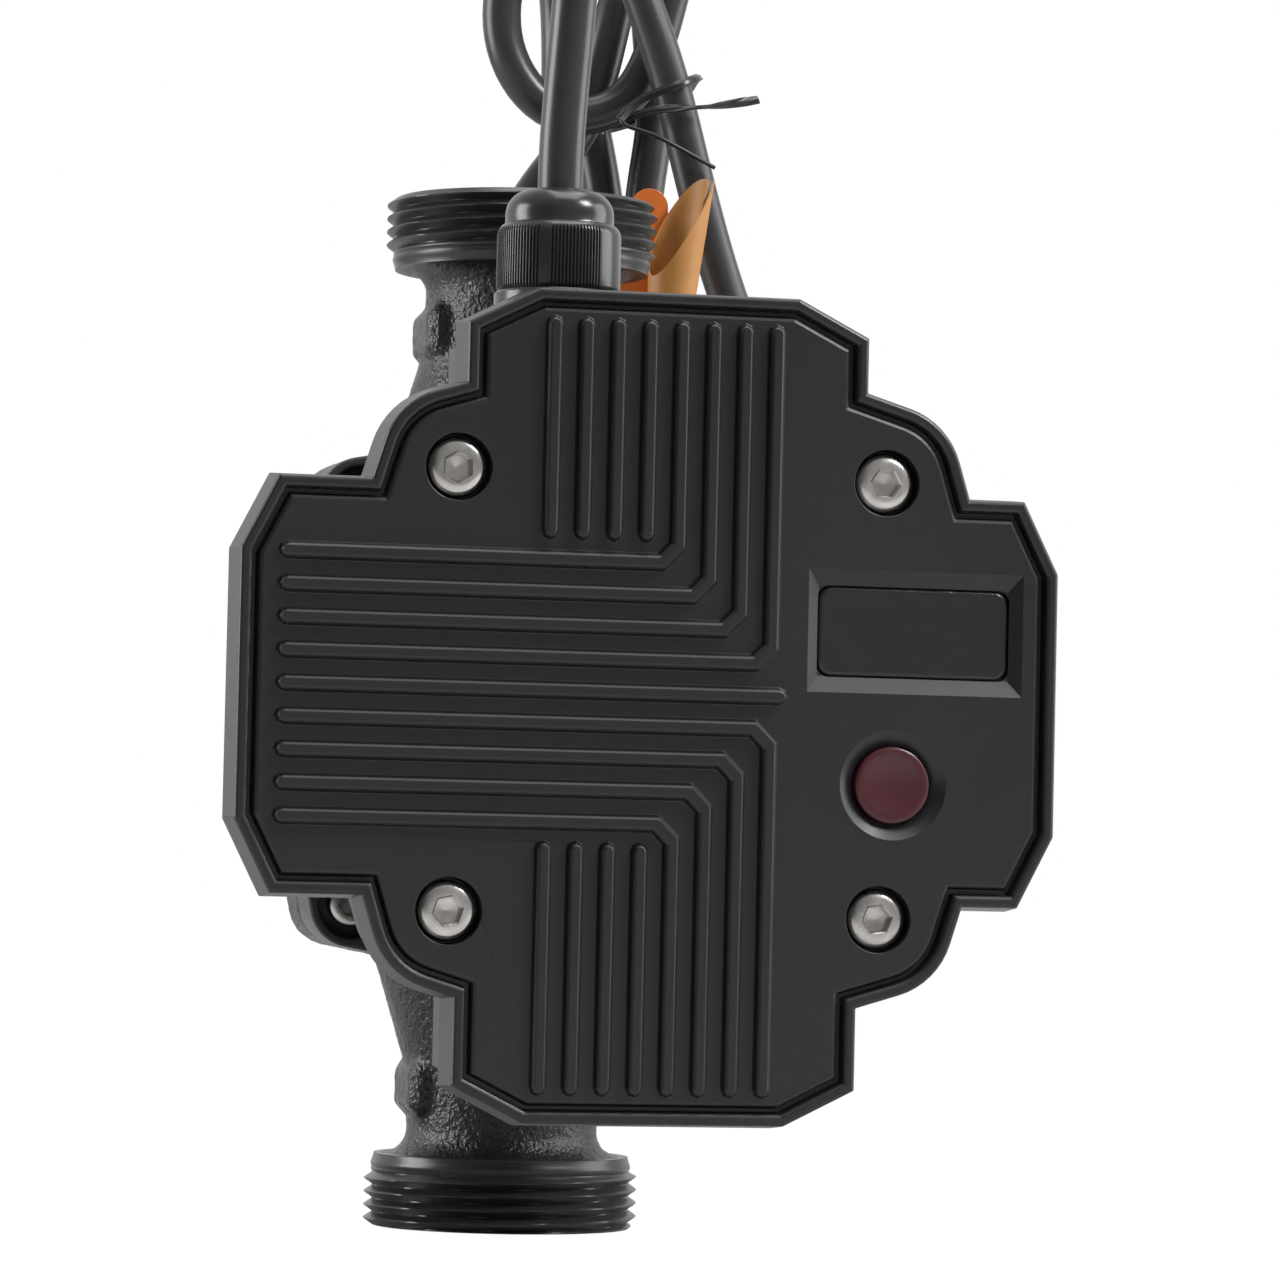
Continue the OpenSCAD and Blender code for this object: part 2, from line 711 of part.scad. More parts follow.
module controller_back() {
    color([0.1, 0.1, 0.11]) difference() {
        union() {
            difference() {
                slab(motor_end, box_front) outline(box_inset);
                slab(motor_end + box_wall, box_front + cut) outline(box_inset + box_wall);
            }
            slab(motor_end + box_wall / 2, box_front) at_four(screw_span) circle(d = post_d);
            slab(motor_end + box_wall / 2, pcb_front - pcb_t)
                for (sx = [-1, 1], sz = [-1, 1])
                    translate([sx * standoff_x, sz * standoff_z]) circle(d = standoff_d);
            // round seat of the gland on the upper wall
            translate([-gland_x, gland_y, box_top - 2 * box_wall])
                cylinder(d = gland_base_d, h = 2 * box_wall);
        }
        slab(cover_seat - cover_screw_l - cut, box_front + cut)
            at_four(screw_span) circle(d = cover_screw_d);
        slab(motor_end + box_wall, box_front)
            for (sx = [-1, 1], sz = [-1, 1])
                translate([sx * standoff_x, sz * standoff_z]) circle(d = pcb_screw_d);
        // lead-through to the motor and the gland's hole
        rod(can_od / 2, motor_end - cut, motor_end + box_wall + cut);
        translate([-gland_x, gland_y, box_top - box_wall - cut])
            cylinder(d = gland_thread_d + 2 * fit, h = box_wall + 2 * cut);
        translate([-gland_x, gland_y, box_top - box_wall - gland_base_h])
            cylinder(d = locknut_d + gap, h = gland_base_h);
    }
}

module control_pcb() {
    color([0.08, 0.3, 0.16]) slab(pcb_front - pcb_t, pcb_front) difference() {
        intersection() {
            outline(box_inset + box_wall + cut);
            square([arm_left + arm_right + 2 * arm_chamfer, 2 * pcb_half_h], center = true);
        }
        for (sx = [-1, 1], sz = [-1, 1])
            translate([sx * standoff_x, sz * standoff_z]) circle(d = pcb_screw_d + 2 * fit);
    }
}

module pcb_screws() {
    color([0.75, 0.75, 0.77]) for (sx = [-1, 1], sz = [-1, 1]) {
        rod(pcb_head_d, pcb_front, pcb_front + pcb_head_h, sx * standoff_x, sz * standoff_z);
        rod(pcb_screw_d, pcb_front - 3 * pcb_head_h, pcb_front + pcb_head_h / 2,
            sx * standoff_x, sz * standoff_z);
    }
}

module terminal_block() {
    way_w = 7;
    ways = 3;
    block_h = 10;
    block_d = 9;
    color([0.2, 0.35, 0.3]) difference() {
        slab(pcb_front - pcb_t - block_d, pcb_front - pcb_t)
            translate([-gland_x - ways * way_w / 2, pcb_half_h - block_h])
                square([ways * way_w, block_h]);
        for (i = [0 : ways - 1])
            translate([-gland_x + (i - (ways - 1) / 2) * way_w,
                -(pcb_front - pcb_t - block_d / 2), axis_z + pcb_half_h - block_h / 2])
                cylinder(d = way_w / 2, h = block_h);
    }
}

module power_capacitor() {
    cap_d = 11;
    cap_l = 20;
    color([0.15, 0.2, 0.35])
        translate([-standoff_x + 2 * standoff_d, -(pcb_front - pcb_t - cap_d / 2), axis_z])
            rotate([0, 90, 0]) cylinder(d = cap_d, h = cap_l, center = true);
}

switch_h = 4;
module tact_switch() {
    switch_w = 6;
    color([0.2, 0.2, 0.22]) {
        slab(pcb_front, pcb_front + switch_h) translate([button_x, -button_z])
            square(switch_w, center = true);
        rod(switch_w / 2, pcb_front, pcb_front + switch_h + switch_w / 8, button_x, -button_z);
    }
}

window_back = face_back - 1;
module display_module() {
    lip = 1.5;
    color([0.12, 0.12, 0.13]) difference() {
        slab(pcb_front, window_back - gap) translate([display_x, display_z])
            square([window_w - 2 * lip, window_h - lip], center = true);
        slab(window_back - gap - lip, window_back) for (i = [-1, 0, 1])
            translate([display_x + i * window_w / 4, display_z])
                difference() {
                    square([window_w / 6, window_h / 2 + lip], center = true);
                    square([window_w / 6 - lip, window_h / 2 - lip], center = true);
                }
    }
}

module rounded(w, h, r) {
    square([w - 2 * r, h], center = true);
    square([w, h - 2 * r], center = true);
    for (sx = [-1, 1], sz = [-1, 1])
        translate([sx * (w / 2 - r), sz * (h / 2 - r)]) circle(r = r);
}

module display_window() {
    glass_lip = 1.2;
    color([0.03, 0.03, 0.04]) translate([display_x, 0, display_z]) {
        slab(face_back - fit, face_top - frame_depth) rounded(window_w, window_h, window_r);
        slab(window_back, face_back)
            rounded(window_w + 2 * glass_lip, window_h + 2 * glass_lip, window_r);
    }
}

module cover_seal() {
    color([0.05, 0.05, 0.05]) slab(box_front, cover_back) difference() {
        outline(box_inset + fit);
        outline(box_inset + box_wall - fit);
    }
}

// Straight-sided sunk frame whose walls slope down to the window
module frame_recess() {
    function corners(w, h) = [[w, h] / 2, [-w, h] / 2, [-w, -h] / 2, [w, -h] / 2];
    translate([display_x, 0, display_z])
        skin([ring_at(corners(window_w, window_h), face_top - frame_depth),
              ring_at(corners(frame_w, frame_h), face_top),
              ring_at(corners(frame_w, frame_h), face_top + cut)]);
}

// Paths of the ribs, in x and height off the motor axis
rib_mid = rib_pitch / 35;
rib_left = -(arm_left - rib_end_left);
rib_top = arm_top - rib_end;
rib_bottom = -(arm_bottom - rib_end);
function rib_x(k) = -rib_first + k * rib_pitch;
function rib_row(k) = rib_mid + k * rib_pitch;
rib_paths = concat(
    [[[rib_left, rib_row(0)], [rib_x(7) + rib_foot_w / 2, rib_row(0)]]],
    [for (k = [0 : 3]) [[rib_x(k), rib_top], [rib_x(k), rib_row(4) + rib_short_gap]]],
    [for (k = [0 : 3]) [[rib_x(k), rib_bottom], [rib_x(k), rib_row(-4) - rib_short_gap]]],
    [for (k = [4 : 7]) [[rib_x(k), rib_top], [rib_x(k), rib_row(8 - k) + rib_turn],
        [rib_x(k) - rib_turn, rib_row(8 - k)], [rib_left, rib_row(8 - k)]]],
    [for (k = [4 : 7]) [[rib_x(k), rib_bottom], [rib_x(k), rib_row(k - 8) - rib_turn],
        [rib_x(k) - rib_turn, rib_row(k - 8)], [rib_left, rib_row(k - 8)]]]);

// Section of the cover's edge as pairs of inset and depth, from the back edge to the face
rim_section = [
    [-cover_flare, cover_back], [0, rim_top - edge_r], [edge_r * 0.3, rim_top - edge_r * 0.3],
    [edge_r, rim_top], [rim_w - edge_r, rim_top], [rim_w - edge_r * 0.3, rim_top - edge_r * 0.3],
    [rim_w, rim_top - edge_r], [rim_w + edge_r / 4, face_top - groove_depth],
    [rim_w + groove_w, face_top - groove_depth],
    [rim_w + groove_w + edge_r / 4, face_top - edge_r],
    [rim_w + groove_w + edge_r * 0.6, face_top - edge_r * 0.3],
    [rim_w + groove_w + edge_r * 1.4, face_top], [box_inset + box_wall, face_top],
    [box_inset + box_wall, cover_back]];

module front_cover() {
    color([0.13, 0.13, 0.14]) difference() {
        union() {
            frame_skin([for (s = rim_section) ring_at(inset(cover_pts, s[0]), s[1])]);
            slab(face_back, face_top) outline(box_inset + box_wall / 2);
            slab(cover_back, face_back + edge_r) at_four(screw_span) circle(d = boss_back_d);
            for (p = rib_paths) rib(p);
        }
        slab(cover_back - cut, face_top + rim_rise + cut)
            at_four(screw_span) circle(d = cover_screw_d + 2 * fit);
        slab(cover_seat, face_top + rim_rise + cut) at_four(screw_span) circle(d = cover_bore_d);
        frame_recess();
        translate([display_x, 0, display_z])
            slab(face_back - cut, face_top) rounded(window_w + 2 * fit, window_h + 2 * fit, window_r);
        rod(button_d + 4 * fit, face_back - cut, face_top + cut, button_x, -button_z);
        translate([button_x, -(face_top - frame_depth), axis_z - button_z]) rotate([90, 0, 0])
            cylinder(d1 = button_d + 4 * fit, d2 = dish_d, h = frame_depth);
    }
}

module cover_screws() {
    dome_r = cover_head_d;
    dome_drop = cover_head_h / 3;
    color([0.8, 0.81, 0.82]) difference() {
        for (sx = [-1, 1], sz = [-1, 1])
            translate([sx * screw_span / 2, -cover_seat, axis_z + sz * screw_span / 2])
                rotate([90, 0, 0]) {
                    cylinder(d = cover_head_d, h = cover_head_h - dome_drop);
                    translate([0, 0, cover_head_h - dome_drop])
                        cylinder(d1 = cover_head_d, d2 = cover_head_d * 0.72, h = dome_drop);
                    translate([0, 0, -cover_screw_l])
                        cylinder(d = cover_screw_d, h = cover_screw_l + dome_drop);
                }
        slab(cover_seat + cover_head_h / 4, cover_seat + cover_head_h + cut)
            at_four(screw_span) circle(d = hex_af / cos(30), $fn = 6);
    }
}

// Cap of the button with a dished face, a collar behind the cover and a stem to the switch
module power_button() {
    button_top = face_top - edge_r / 2;
    dish_r = button_d * 2;
    collar_t = 1;
    color([0.36, 0.12, 0.16]) difference() {
        union() {
            rod(button_d, face_back - gap - collar_t, button_top, button_x, -button_z);
            rod(button_d + 2 * collar_t + 2 * gap, face_back - gap - collar_t, face_back - gap,
                button_x, -button_z);
            rod(button_d / 3, pcb_front + switch_h + switch_h / 4 + button_travel + gap,
                face_back - gap, button_x, -button_z);
        }
        translate([button_x, -(button_top + dish_r - edge_r / 2), axis_z - button_z])
            sphere(r = dish_r);
    }
}

// The gland: a base on the box's upper wall with a threaded stub through it
module gland_body() {
    collet_d = gland_dome_d - 5;
    color([0.16, 0.16, 0.17]) translate([-gland_x, gland_y, 0]) difference() {
        union() {
            translate([0, 0, box_top]) cylinder(d = gland_base_d, h = gland_base_h);
            translate([0, 0, box_top - box_wall - gland_base_h])
                cylinder(d = gland_thread_d, h = box_wall + gland_base_h + cut);
            translate([0, 0, gland_base_top - cut]) cylinder(d = collet_d, h = gland_nut_h * 0.8 + cut);
        }
        translate([0, 0, box_top - box_wall - gland_base_h - cut])
            cylinder(d = cable_d + 2 * gap, h = gland_base_h + box_wall + 2 * cut);
        translate([0, 0, box_top]) cylinder(d = gland_seal_d, h = 2 * gland_nut_h + gland_base_h);
    }
}
gland_seal_d = cable_d + 2.4;
locknut_d = (box_d - 2 * box_wall - 2 * gap) / cos(30);

module gland_locknut() {
    nut_t = gland_base_h - cut;
    color([0.16, 0.16, 0.17]) translate([-gland_x, gland_y, box_top - box_wall - nut_t])
        difference() {
            cylinder(d = locknut_d, h = nut_t, $fn = 6);
            translate([0, 0, -cut]) cylinder(d = gland_thread_d, h = nut_t + 2 * cut);
        }
}

module gland_nut() {
    dome_round = gland_dome_h - cut / 2;
    color([0.15, 0.15, 0.16]) translate([-gland_x, gland_y, 0]) difference() {
        union() {
            translate([0, 0, gland_base_top]) cylinder(d = gland_nut_d, h = gland_nut_h - cut / 2);
            translate([0, 0, gland_nut_top - cut / 2])
                cylinder(d1 = gland_nut_d, d2 = gland_dome_d, h = cut / 2);
            translate([0, 0, gland_nut_top]) rotate_extrude() {
                square([gland_dome_d / 2 - dome_round, gland_dome_h]);
                square([gland_dome_d / 2, gland_dome_h - dome_round]);
                translate([gland_dome_d / 2 - dome_round, gland_dome_h - dome_round])
                    intersection() {
                        circle(r = dome_round);
                        square(dome_round);
                    }
            }
        }
        translate([0, 0, gland_base_top - cut])
            cylinder(d = gland_dome_d - 5 + 2 * fit, h = gland_nut_h * 0.8 + cut + gap);
        translate([0, 0, gland_base_top]) cylinder(d = cable_d + 2 * fit, h = gland_nut_h * 3);
    }
}

module gland_seal() {
    color([0.08, 0.08, 0.08]) translate([-gland_x, gland_y, box_top]) difference() {
        cylinder(d = gland_seal_d, h = gland_base_h + gland_nut_h * 0.8);
        translate([0, 0, -cut]) cylinder(d = cable_d, h = gland_base_h + gland_nut_h + 2 * cut);
    }
}

module cable_tail() {
    tail_l = gland_top - box_top + box_wall + 2 * gland_base_h;
    color([0.2, 0.2, 0.21]) translate([-gland_x, gland_y, gland_top - tail_l])
        cylinder(d = cable_d, h = tail_l);
}

// Cord routes: round numbers chosen by hand. The free run leaves the gland, rises and arches
// past the upper port; the hank hangs behind the port with one tie round its waist.
run_pts = [[-14, -101, 190], [-12, -100, 212], [-7, -96, 236], [4, -86, 257], [19, -68, 270],
    [32, -44, 276], [39, -16, 277], [39, 12, 275], [35, 35, 269], [27, 52, 256]];
hank_pts = [[22, 61, 232], [22, 61, 216], [25, 61, 204], [28, 61, 190], [30, 61, 175],
    [33, 61, 159], [35, 60, 144], [39, 57, 130], [46, 52, 119], [55, 45, 115], [61, 38, 121],
    [60, 34, 134], [56, 33, 146], [50, 34, 159], [45, 35, 172], [40, 35, 188], [35, 35, 206],
    [30, 35, 220],
    [24, 36, 234], [15, 38, 240], [7, 41, 234], [4, 44, 222], [6, 44, 211], [13, 44, 203],
    [21, 44, 202], [29, 44, 206], [34, 44, 217], [37, 43, 230], [42, 42, 243], [49, 43, 254],
    [56, 50, 259], [56, 59, 258], [49, 63, 251], [40, 60, 244], [33, 56, 236], [28, 53, 225],
    [25, 52, 212], [21, 52, 200],
    [13, 52, 189], [6, 52, 176], [0, 52, 161], [-4, 52, 145], [-3, 52, 130], [4, 52, 118],
    [15, 52, 113], [25, 52, 117], [31, 52, 129], [32, 52, 144], [32, 52, 160], [33, 52, 176],
    [34, 52, 190], [36, 53, 204], [36, 57, 217], [36, 62, 230], [38, 69, 242], [40, 78, 251],
    [37, 87, 256], [30, 91, 253], [24, 88, 245], [22, 81, 236], [22, 76, 225], [22, 74, 210],
    [22, 74, 192], [22, 75, 172], [21, 77, 154]];
plug_top = [21, 78, 134];
// Loop of the tie and its two free ends
tie_pts = [[50, 30, 205], [40, 29, 203], [30, 30, 202], [22, 35, 199], [14, 40, 198],
    [8, 47, 198], [10, 56, 199], [17, 64, 200], [26, 67, 202], [36, 64, 205], [42, 55, 208],
    [42, 44, 210], [41, 34, 209], [36, 29, 207], [28, 32, 204], [23, 31, 199], [31, 29, 197],
    [42, 30, 192]];

sides = 8;
steps = 3;
function spline(p, q, r, s, t) =
    0.5 * (2 * q + (r - p) * t + (2 * p - 5 * q + 4 * r - s) * t * t
        + (3 * q - p - 3 * r + s) * t * t * t);
function smooth(pts, n) = let (m = len(pts))
    concat([for (i = [0 : m - 2], k = [0 : n - 1])
        spline(pts[max(i - 1, 0)], pts[i], pts[i + 1], pts[min(i + 2, m - 1)], k / n)],
        [pts[m - 1]]);
function cross_to(v, w) = unit(cross(v, w));
// Frames carried along the route without twist: each side direction is the last one,
// straightened across the new heading.
function heading(p, i) = unit(p[min(i + 1, len(p) - 1)] - p[max(i - 1, 0)]);
function sides_of(p, i = 0, prev = [1, 0, 0], out = []) =
    i >= len(p) ? out :
    let (h = heading(p, i), s = unit(prev - h * (prev * h)))
    sides_of(p, i + 1, s, concat(out, [s]));
module tube(p, d, n) {
    side = sides_of(p);
    skin([for (i = [0 : len(p) - 1])
        let (h = heading(p, i), s = side[i], c = cross(h, s))
        [for (k = [0 : n - 1]) let (a = 360 * k / n) p[i] + d / 2 * (cos(a) * s + sin(a) * c)]]);
}
function far_gap(p, skip, d) = min([for (i = [0 : len(p) - skip - 1], j = [i + skip : len(p) - 1])
    norm(p[i] - p[j])]) - d;

gland_exit = [-gland_x, gland_y, gland_top];
exit_rise = [0, 0, cable_d];
plug_rise = [0, 0, cable_d];
run_path = concat([gland_exit], smooth(concat([gland_exit + exit_rise], run_pts), steps),
    [hank_pts[0] + [0, 0, cable_d]], [hank_pts[0]]);
hank_path = concat([hank_pts[0]], smooth(concat([hank_pts[0] - [0, 0, cable_d]],
    [for (i = [1 : len(hank_pts) - 1]) hank_pts[i]], [plug_top + plug_rise]), steps), [plug_top]);
echo(least_gap_of_hank = far_gap(hank_path, 8, cable_d));
echo(least_gap_of_tie = far_gap(smooth(tie_pts, 3), 8, tie_d));

module power_cable() { color([0.2, 0.2, 0.21]) tube(run_path, cable_d, sides); }
module cable_hank() { color([0.2, 0.2, 0.21]) tube(hank_path, cable_d, sides); }
module cable_tie() { color([0.06, 0.06, 0.06]) tube(smooth(tie_pts, 3), tie_d, 6); }

// Rolled sheet standing against the cable behind the upper port, its top cut aslant
tag_place = [35, 26, 150];
tag_h = 41;
module cable_tag() {
    color([0.72, 0.42, 0.1]) difference() {
        translate(tag_place) cylinder(d = tag_d, h = tag_h);
        translate(tag_place - [0, 0, cut]) cylinder(d = tag_d - 2 * tag_t, h = tag_h + 2 * cut);
        translate(tag_place + [tag_d / 2, 0, tag_h]) rotate([0, -52, 0])
            translate([-2 * tag_h, -tag_d, 0]) cube([4 * tag_h, 2 * tag_d, 2 * tag_h]);
    }
}

module tag_tab() {
    tab_d = tag_d * 0.56;
    tab_h = tag_h * 0.59;
    tab_top = tag_h * 0.84;
    color([0.9, 0.36, 0.05])
        translate([tag_place[0], tag_place[1] + tag_d / 2 + gap + tag_t, tag_place[2]])
            rotate([90, 0, 0]) linear_extrude(tag_t) {
                translate([-tag_d * 1.2, 0]) square([tag_d * 1.32, tab_h]);
                translate([-tag_d * 0.36 - tab_d / 2, tab_h / 2]) square([tab_d, tab_top - tab_h / 2]);
                translate([-tag_d * 0.36, tab_top]) circle(d = tab_d);
            }
}

// Earthed plug hanging from the end of the cable behind the volute
module mains_plug() {
    clip_w = 5;
    color([0.14, 0.14, 0.15]) translate(plug_top) mirror([0, 0, 1]) {
        cylinder(d1 = cable_d + 3, d2 = plug_d * 0.5, h = plug_grip_l);
        translate([0, 0, plug_grip_l * 0.75])
            cylinder(d1 = plug_d * 0.5, d2 = plug_d, h = plug_grip_l * 0.25);
        difference() {
            translate([0, 0, plug_grip_l]) cylinder(d = plug_d, h = plug_head_l);
            for (s = [-1, 1])
                translate([-clip_w / 2, s * plug_d / 2 - clip_w / 2, plug_grip_l + clip_w])
                    cube([clip_w, clip_w, plug_head_l]);
        }
        for (s = [-1, 1]) translate([s * plug_pin_span / 2, 0, plug_grip_l])
            cylinder(d = plug_pin_d, h = plug_head_l + plug_pin_l);
    }
}

pump_housing();
neck_ring();
impeller();
rotor_shaft();
rotor_magnet();
thrust_ring();
front_bearing();
bearing_plate();
rear_bearing();
rotor_can();
housing_o_ring();
stator_core();
stator_coils();
motor_housing();
motor_screws();
controller_back();
control_pcb();
pcb_screws();
terminal_block();
power_capacitor();
tact_switch();
display_module();
display_window();
cover_seal();
front_cover();
cover_screws();
power_button();
gland_body();
gland_locknut();
gland_nut();
gland_seal();
cable_tail();
power_cable();
cable_hank();
cable_tie();
cable_tag();
tag_tab();
mains_plug();
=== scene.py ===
"""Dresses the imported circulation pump: its cast body, motor, ribbed cover and lead.

Sizes are in millimetres, but for the studio's, which are in metres. The axis of the ports is
Z, the axis of the motor is Y, and a depth is the distance in front of the ports' axis,
towards the cover.
"""

from __future__ import annotations

import logging
import math
from collections.abc import Callable, Iterator, Sequence
from contextlib import contextmanager
from dataclasses import dataclass, field
from enum import Enum

import bmesh
import bpy
import numpy as np
from mathutils import Matrix, Vector, noise

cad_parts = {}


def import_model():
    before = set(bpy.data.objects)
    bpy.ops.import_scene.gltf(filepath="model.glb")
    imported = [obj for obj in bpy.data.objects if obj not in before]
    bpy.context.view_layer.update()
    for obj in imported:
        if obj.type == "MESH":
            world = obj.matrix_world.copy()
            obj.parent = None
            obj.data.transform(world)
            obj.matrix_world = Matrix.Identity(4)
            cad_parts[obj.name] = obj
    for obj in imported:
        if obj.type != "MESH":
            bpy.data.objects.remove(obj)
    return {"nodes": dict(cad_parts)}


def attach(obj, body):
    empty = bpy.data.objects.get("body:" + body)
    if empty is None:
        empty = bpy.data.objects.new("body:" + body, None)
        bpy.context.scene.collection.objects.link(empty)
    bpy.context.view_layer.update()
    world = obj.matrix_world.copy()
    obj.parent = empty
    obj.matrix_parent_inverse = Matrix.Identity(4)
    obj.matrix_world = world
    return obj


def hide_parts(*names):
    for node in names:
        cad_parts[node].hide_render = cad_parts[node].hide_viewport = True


Pair = tuple[float, float]
Triple = tuple[float, float, float]
Colour = tuple[float, float, float, float]
Row = tuple[np.ndarray | float, float]
Skin = tuple[np.ndarray, list[tuple[int, ...]]]
Socket = bpy.types.NodeSocket
Sockets = bpy.types.bpy_prop_collection

LOG = logging.getLogger("pump")
MM = 0.001
FULL_TURN = 2 * math.pi
PORT_GAP = 180.0
AXIS_Z = PORT_GAP / 2
SCREW_SPAN = 68.1
WINDOW_CENTRE: Pair = (39.2, 100.7)
WINDOW_SIZE: Pair = (30.8, 14.0)
GLAND_EXIT: Triple = (-15.0, -101.45, 169.7)
WHITE: Colour = (1.0, 1.0, 1.0, 1.0)
DUST: Colour = (0.42, 0.42, 0.43, 1.0)


class Body(Enum):
    """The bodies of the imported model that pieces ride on."""

    PUMP = "pump"
    BUTTON = "button"


class Drive(Enum):
    """The recess in a screw's head."""

    HEX = 6
    CROSS = 4


# Node trees


class Sheet:
    """Places and links the nodes of one tree."""

    def __init__(self, tree: bpy.types.NodeTree) -> None:
        """Takes the tree that the nodes go in."""
        self.tree = tree

    @classmethod
    def blank(cls, owner: bpy.types.Material | bpy.types.World) -> Sheet:
        """Clears the nodes of a material or a world and returns the sheet for new ones."""
        owner.use_nodes = True
        owner.node_tree.nodes.clear()
        return cls(owner.node_tree)

    def add(self, kind: str, inputs: dict | None = None, **settings: object) -> bpy.types.Node:
        """Adds a node.

        Args:
            kind: Blender's name of the node type.
            inputs: A value or an output socket for each named or numbered input.
            settings: Values of the node's own properties.

        Returns:
            The new node.
        """
        node = self.tree.nodes.new(kind)
        for key, value in settings.items():
            setattr(node, key, value)
        for key, value in (inputs or {}).items():
            self.feed(node.inputs[key], value)
        return node

    def made(self, kind: str, inputs: dict | None = None, **settings: object) -> Socket:
        """Adds a node and returns its first output."""
        return self.add(kind, inputs, **settings).outputs[0]

    def feed(self, socket: Socket, value: object) -> None:
        """Links an output to a socket, or sets the socket's value."""
        if isinstance(value, Socket):
            self.tree.links.new(value, socket)
        else:
            socket.default_value = value

    def math(self, operation: str, first: Socket | float, *others: Socket | float,
             clamp: bool = False) -> Socket:
        """Runs a math operation over its values from left to right."""
        for other in others or (0.0,):
            first = self.made("ShaderNodeMath", {0: first, 1: other}, operation=operation,
                              use_clamp=clamp)
        return first

    def spread(self, value: Socket, low: float, high: float, start: float = 0.0,
               end: float = 1.0) -> Socket:
        """Maps a value between start and end to one between low and high."""
        return self.made("ShaderNodeMapRange", {
            "Value": value, "From Min": start, "From Max": end, "To Min": low, "To Max": high})

    def noise(self, vector: Socket, scale: Socket | float, detail: float = 3.0,
              roughness: float = 0.5) -> Socket:
        """Adds a noise texture and returns its grey value."""
        return self.made("ShaderNodeTexNoise", {
            "Vector": vector, "Scale": scale, "Detail": detail, "Roughness": roughness})

    def parts(self, vector: Socket) -> Sockets:
        """The X, Y and Z of a vector."""
        return self.add("ShaderNodeSeparateXYZ", {"Vector": vector}).outputs

    def vector(self, **parts: Socket | float) -> Socket:
        """A vector from its X, Y and Z; those left out are 0."""
        return self.made("ShaderNodeCombineXYZ", parts)

    def reach(self, vector: Socket, way: Triple) -> Socket:
        """How far a vector reaches in a direction."""
        return self.add("ShaderNodeVectorMath", {0: vector, 1: way},
                        operation="DOT_PRODUCT").outputs["Value"]

    def mapped(self, vector: Socket, **change: Triple) -> Socket:
        """Moves, turns or stretches a vector."""
        return self.made("ShaderNodeMapping", {"Vector": vector, **change})

    def blend(self, share: Socket, first: Socket | Colour, second: Socket | Colour) -> Socket:
        """Mixes two colours."""
        return self.add("ShaderNodeMix", {"Factor": share, 6: first, 7: second},
                        data_type="RGBA").outputs[2]

    def group(self, tree: bpy.types.NodeTree, **inputs: Socket | float) -> Sockets:
        """Places a shader group and returns its outputs."""
        return self.add("ShaderNodeGroup", inputs, node_tree=tree).outputs


def new_group(name: str, kind: str, takes: dict[str, tuple[str, object]],
              gives: dict[str, str]) -> tuple[Sheet, Sockets, Sockets]:
    """Starts a node group with named inputs and outputs.

    Args:
        name: The group's name.
        kind: The type of tree, for shaders or for geometry.
        takes: Kind of socket and default of each input by name.
        gives: Kind of socket of each output by name.

    Returns:
        The sheet for its nodes, what the group is given and what it results in.
    """
    tree = bpy.data.node_groups.new(name, kind)
    for label, (socket, default) in takes.items():
        made = tree.interface.new_socket(label, in_out="INPUT", socket_type=f"NodeSocket{socket}")
        if default is not None:
            made.default_value = default
    for label, socket in gives.items():
        tree.interface.new_socket(label, in_out="OUTPUT", socket_type=f"NodeSocket{socket}")
    start, end = tree.nodes.new("NodeGroupInput"), tree.nodes.new("NodeGroupOutput")
    return Sheet(tree), start.outputs, end.inputs


def grain_group() -> bpy.types.NodeTree:
    """The fine grain of a coat, casting or moulding: a tone and a height."""
    sheet, given, result = new_group(
        "Grain", "ShaderNodeTree",
        {"Vector": ("Vector", None), "Scale": ("Float", 1000.0), "Coarse": ("Float", 0.3)},
        {"Tone": "Float", "Height": "Float"})
    fine = sheet.noise(given["Vector"], given["Scale"], 2.0)
    broad = sheet.noise(given["Vector"], sheet.math("MULTIPLY", given["Scale"], 0.23))
    lumps = sheet.math("MULTIPLY", broad, given["Coarse"])
    sheet.feed(result["Height"], sheet.math("ADD", fine, lumps))
    drift = sheet.noise(given["Vector"], 60.0, 4.0)
    mixed = sheet.math("MULTIPLY", sheet.math("ADD", drift, broad), 0.5)
    sheet.feed(result["Tone"], sheet.spread(mixed, 0.0, 1.0, 0.3, 0.7))
    return sheet.tree


def dust_group() -> bpy.types.NodeTree:
    """Small pale specks of dust, as a mask."""
    sheet, given, result = new_group(
        "Dust", "ShaderNodeTree",
        {"Vector": ("Vector", None), "Scale": ("Float", 260.0), "Amount": ("Float", 0.1)},
        {"Mask": "Float"})
    cells = sheet.add("ShaderNodeTexVoronoi", {
        "Vector": given["Vector"], "Scale": given["Scale"]}).outputs
    chance = sheet.add("ShaderNodeSeparateColor", {"Color": cells["Color"]}).outputs
    picked = sheet.math("LESS_THAN", chance["Red"], given["Amount"])
    radius = sheet.math("MULTIPLY", chance["Green"], 0.09)
    near = sheet.math("LESS_THAN", cells["Distance"], radius)
    sheet.feed(result["Mask"], sheet.math("MULTIPLY", picked, near))
    return sheet.tree


def handling_group() -> bpy.types.NodeTree:
    """Faint smears and rubbed patches from handling, as a change of gloss."""
    sheet, given, result = new_group(
        "Handling", "ShaderNodeTree",
        {"Vector": ("Vector", None), "Amount": ("Float", 0.05)}, {"Gloss": "Float"})
    smear = sheet.noise(sheet.mapped(given["Vector"], Scale=(1.0, 1.0, 0.35)), 45.0, 5.0, 0.6)
    patch = sheet.noise(given["Vector"], 14.0, 2.0)
    mean = sheet.math("MULTIPLY", sheet.math("ADD", smear, patch), 0.5)
    change = sheet.math("SUBTRACT", mean, 0.5)
    sheet.feed(result["Gloss"], sheet.math("MULTIPLY", change, given["Amount"]))
    return sheet.tree


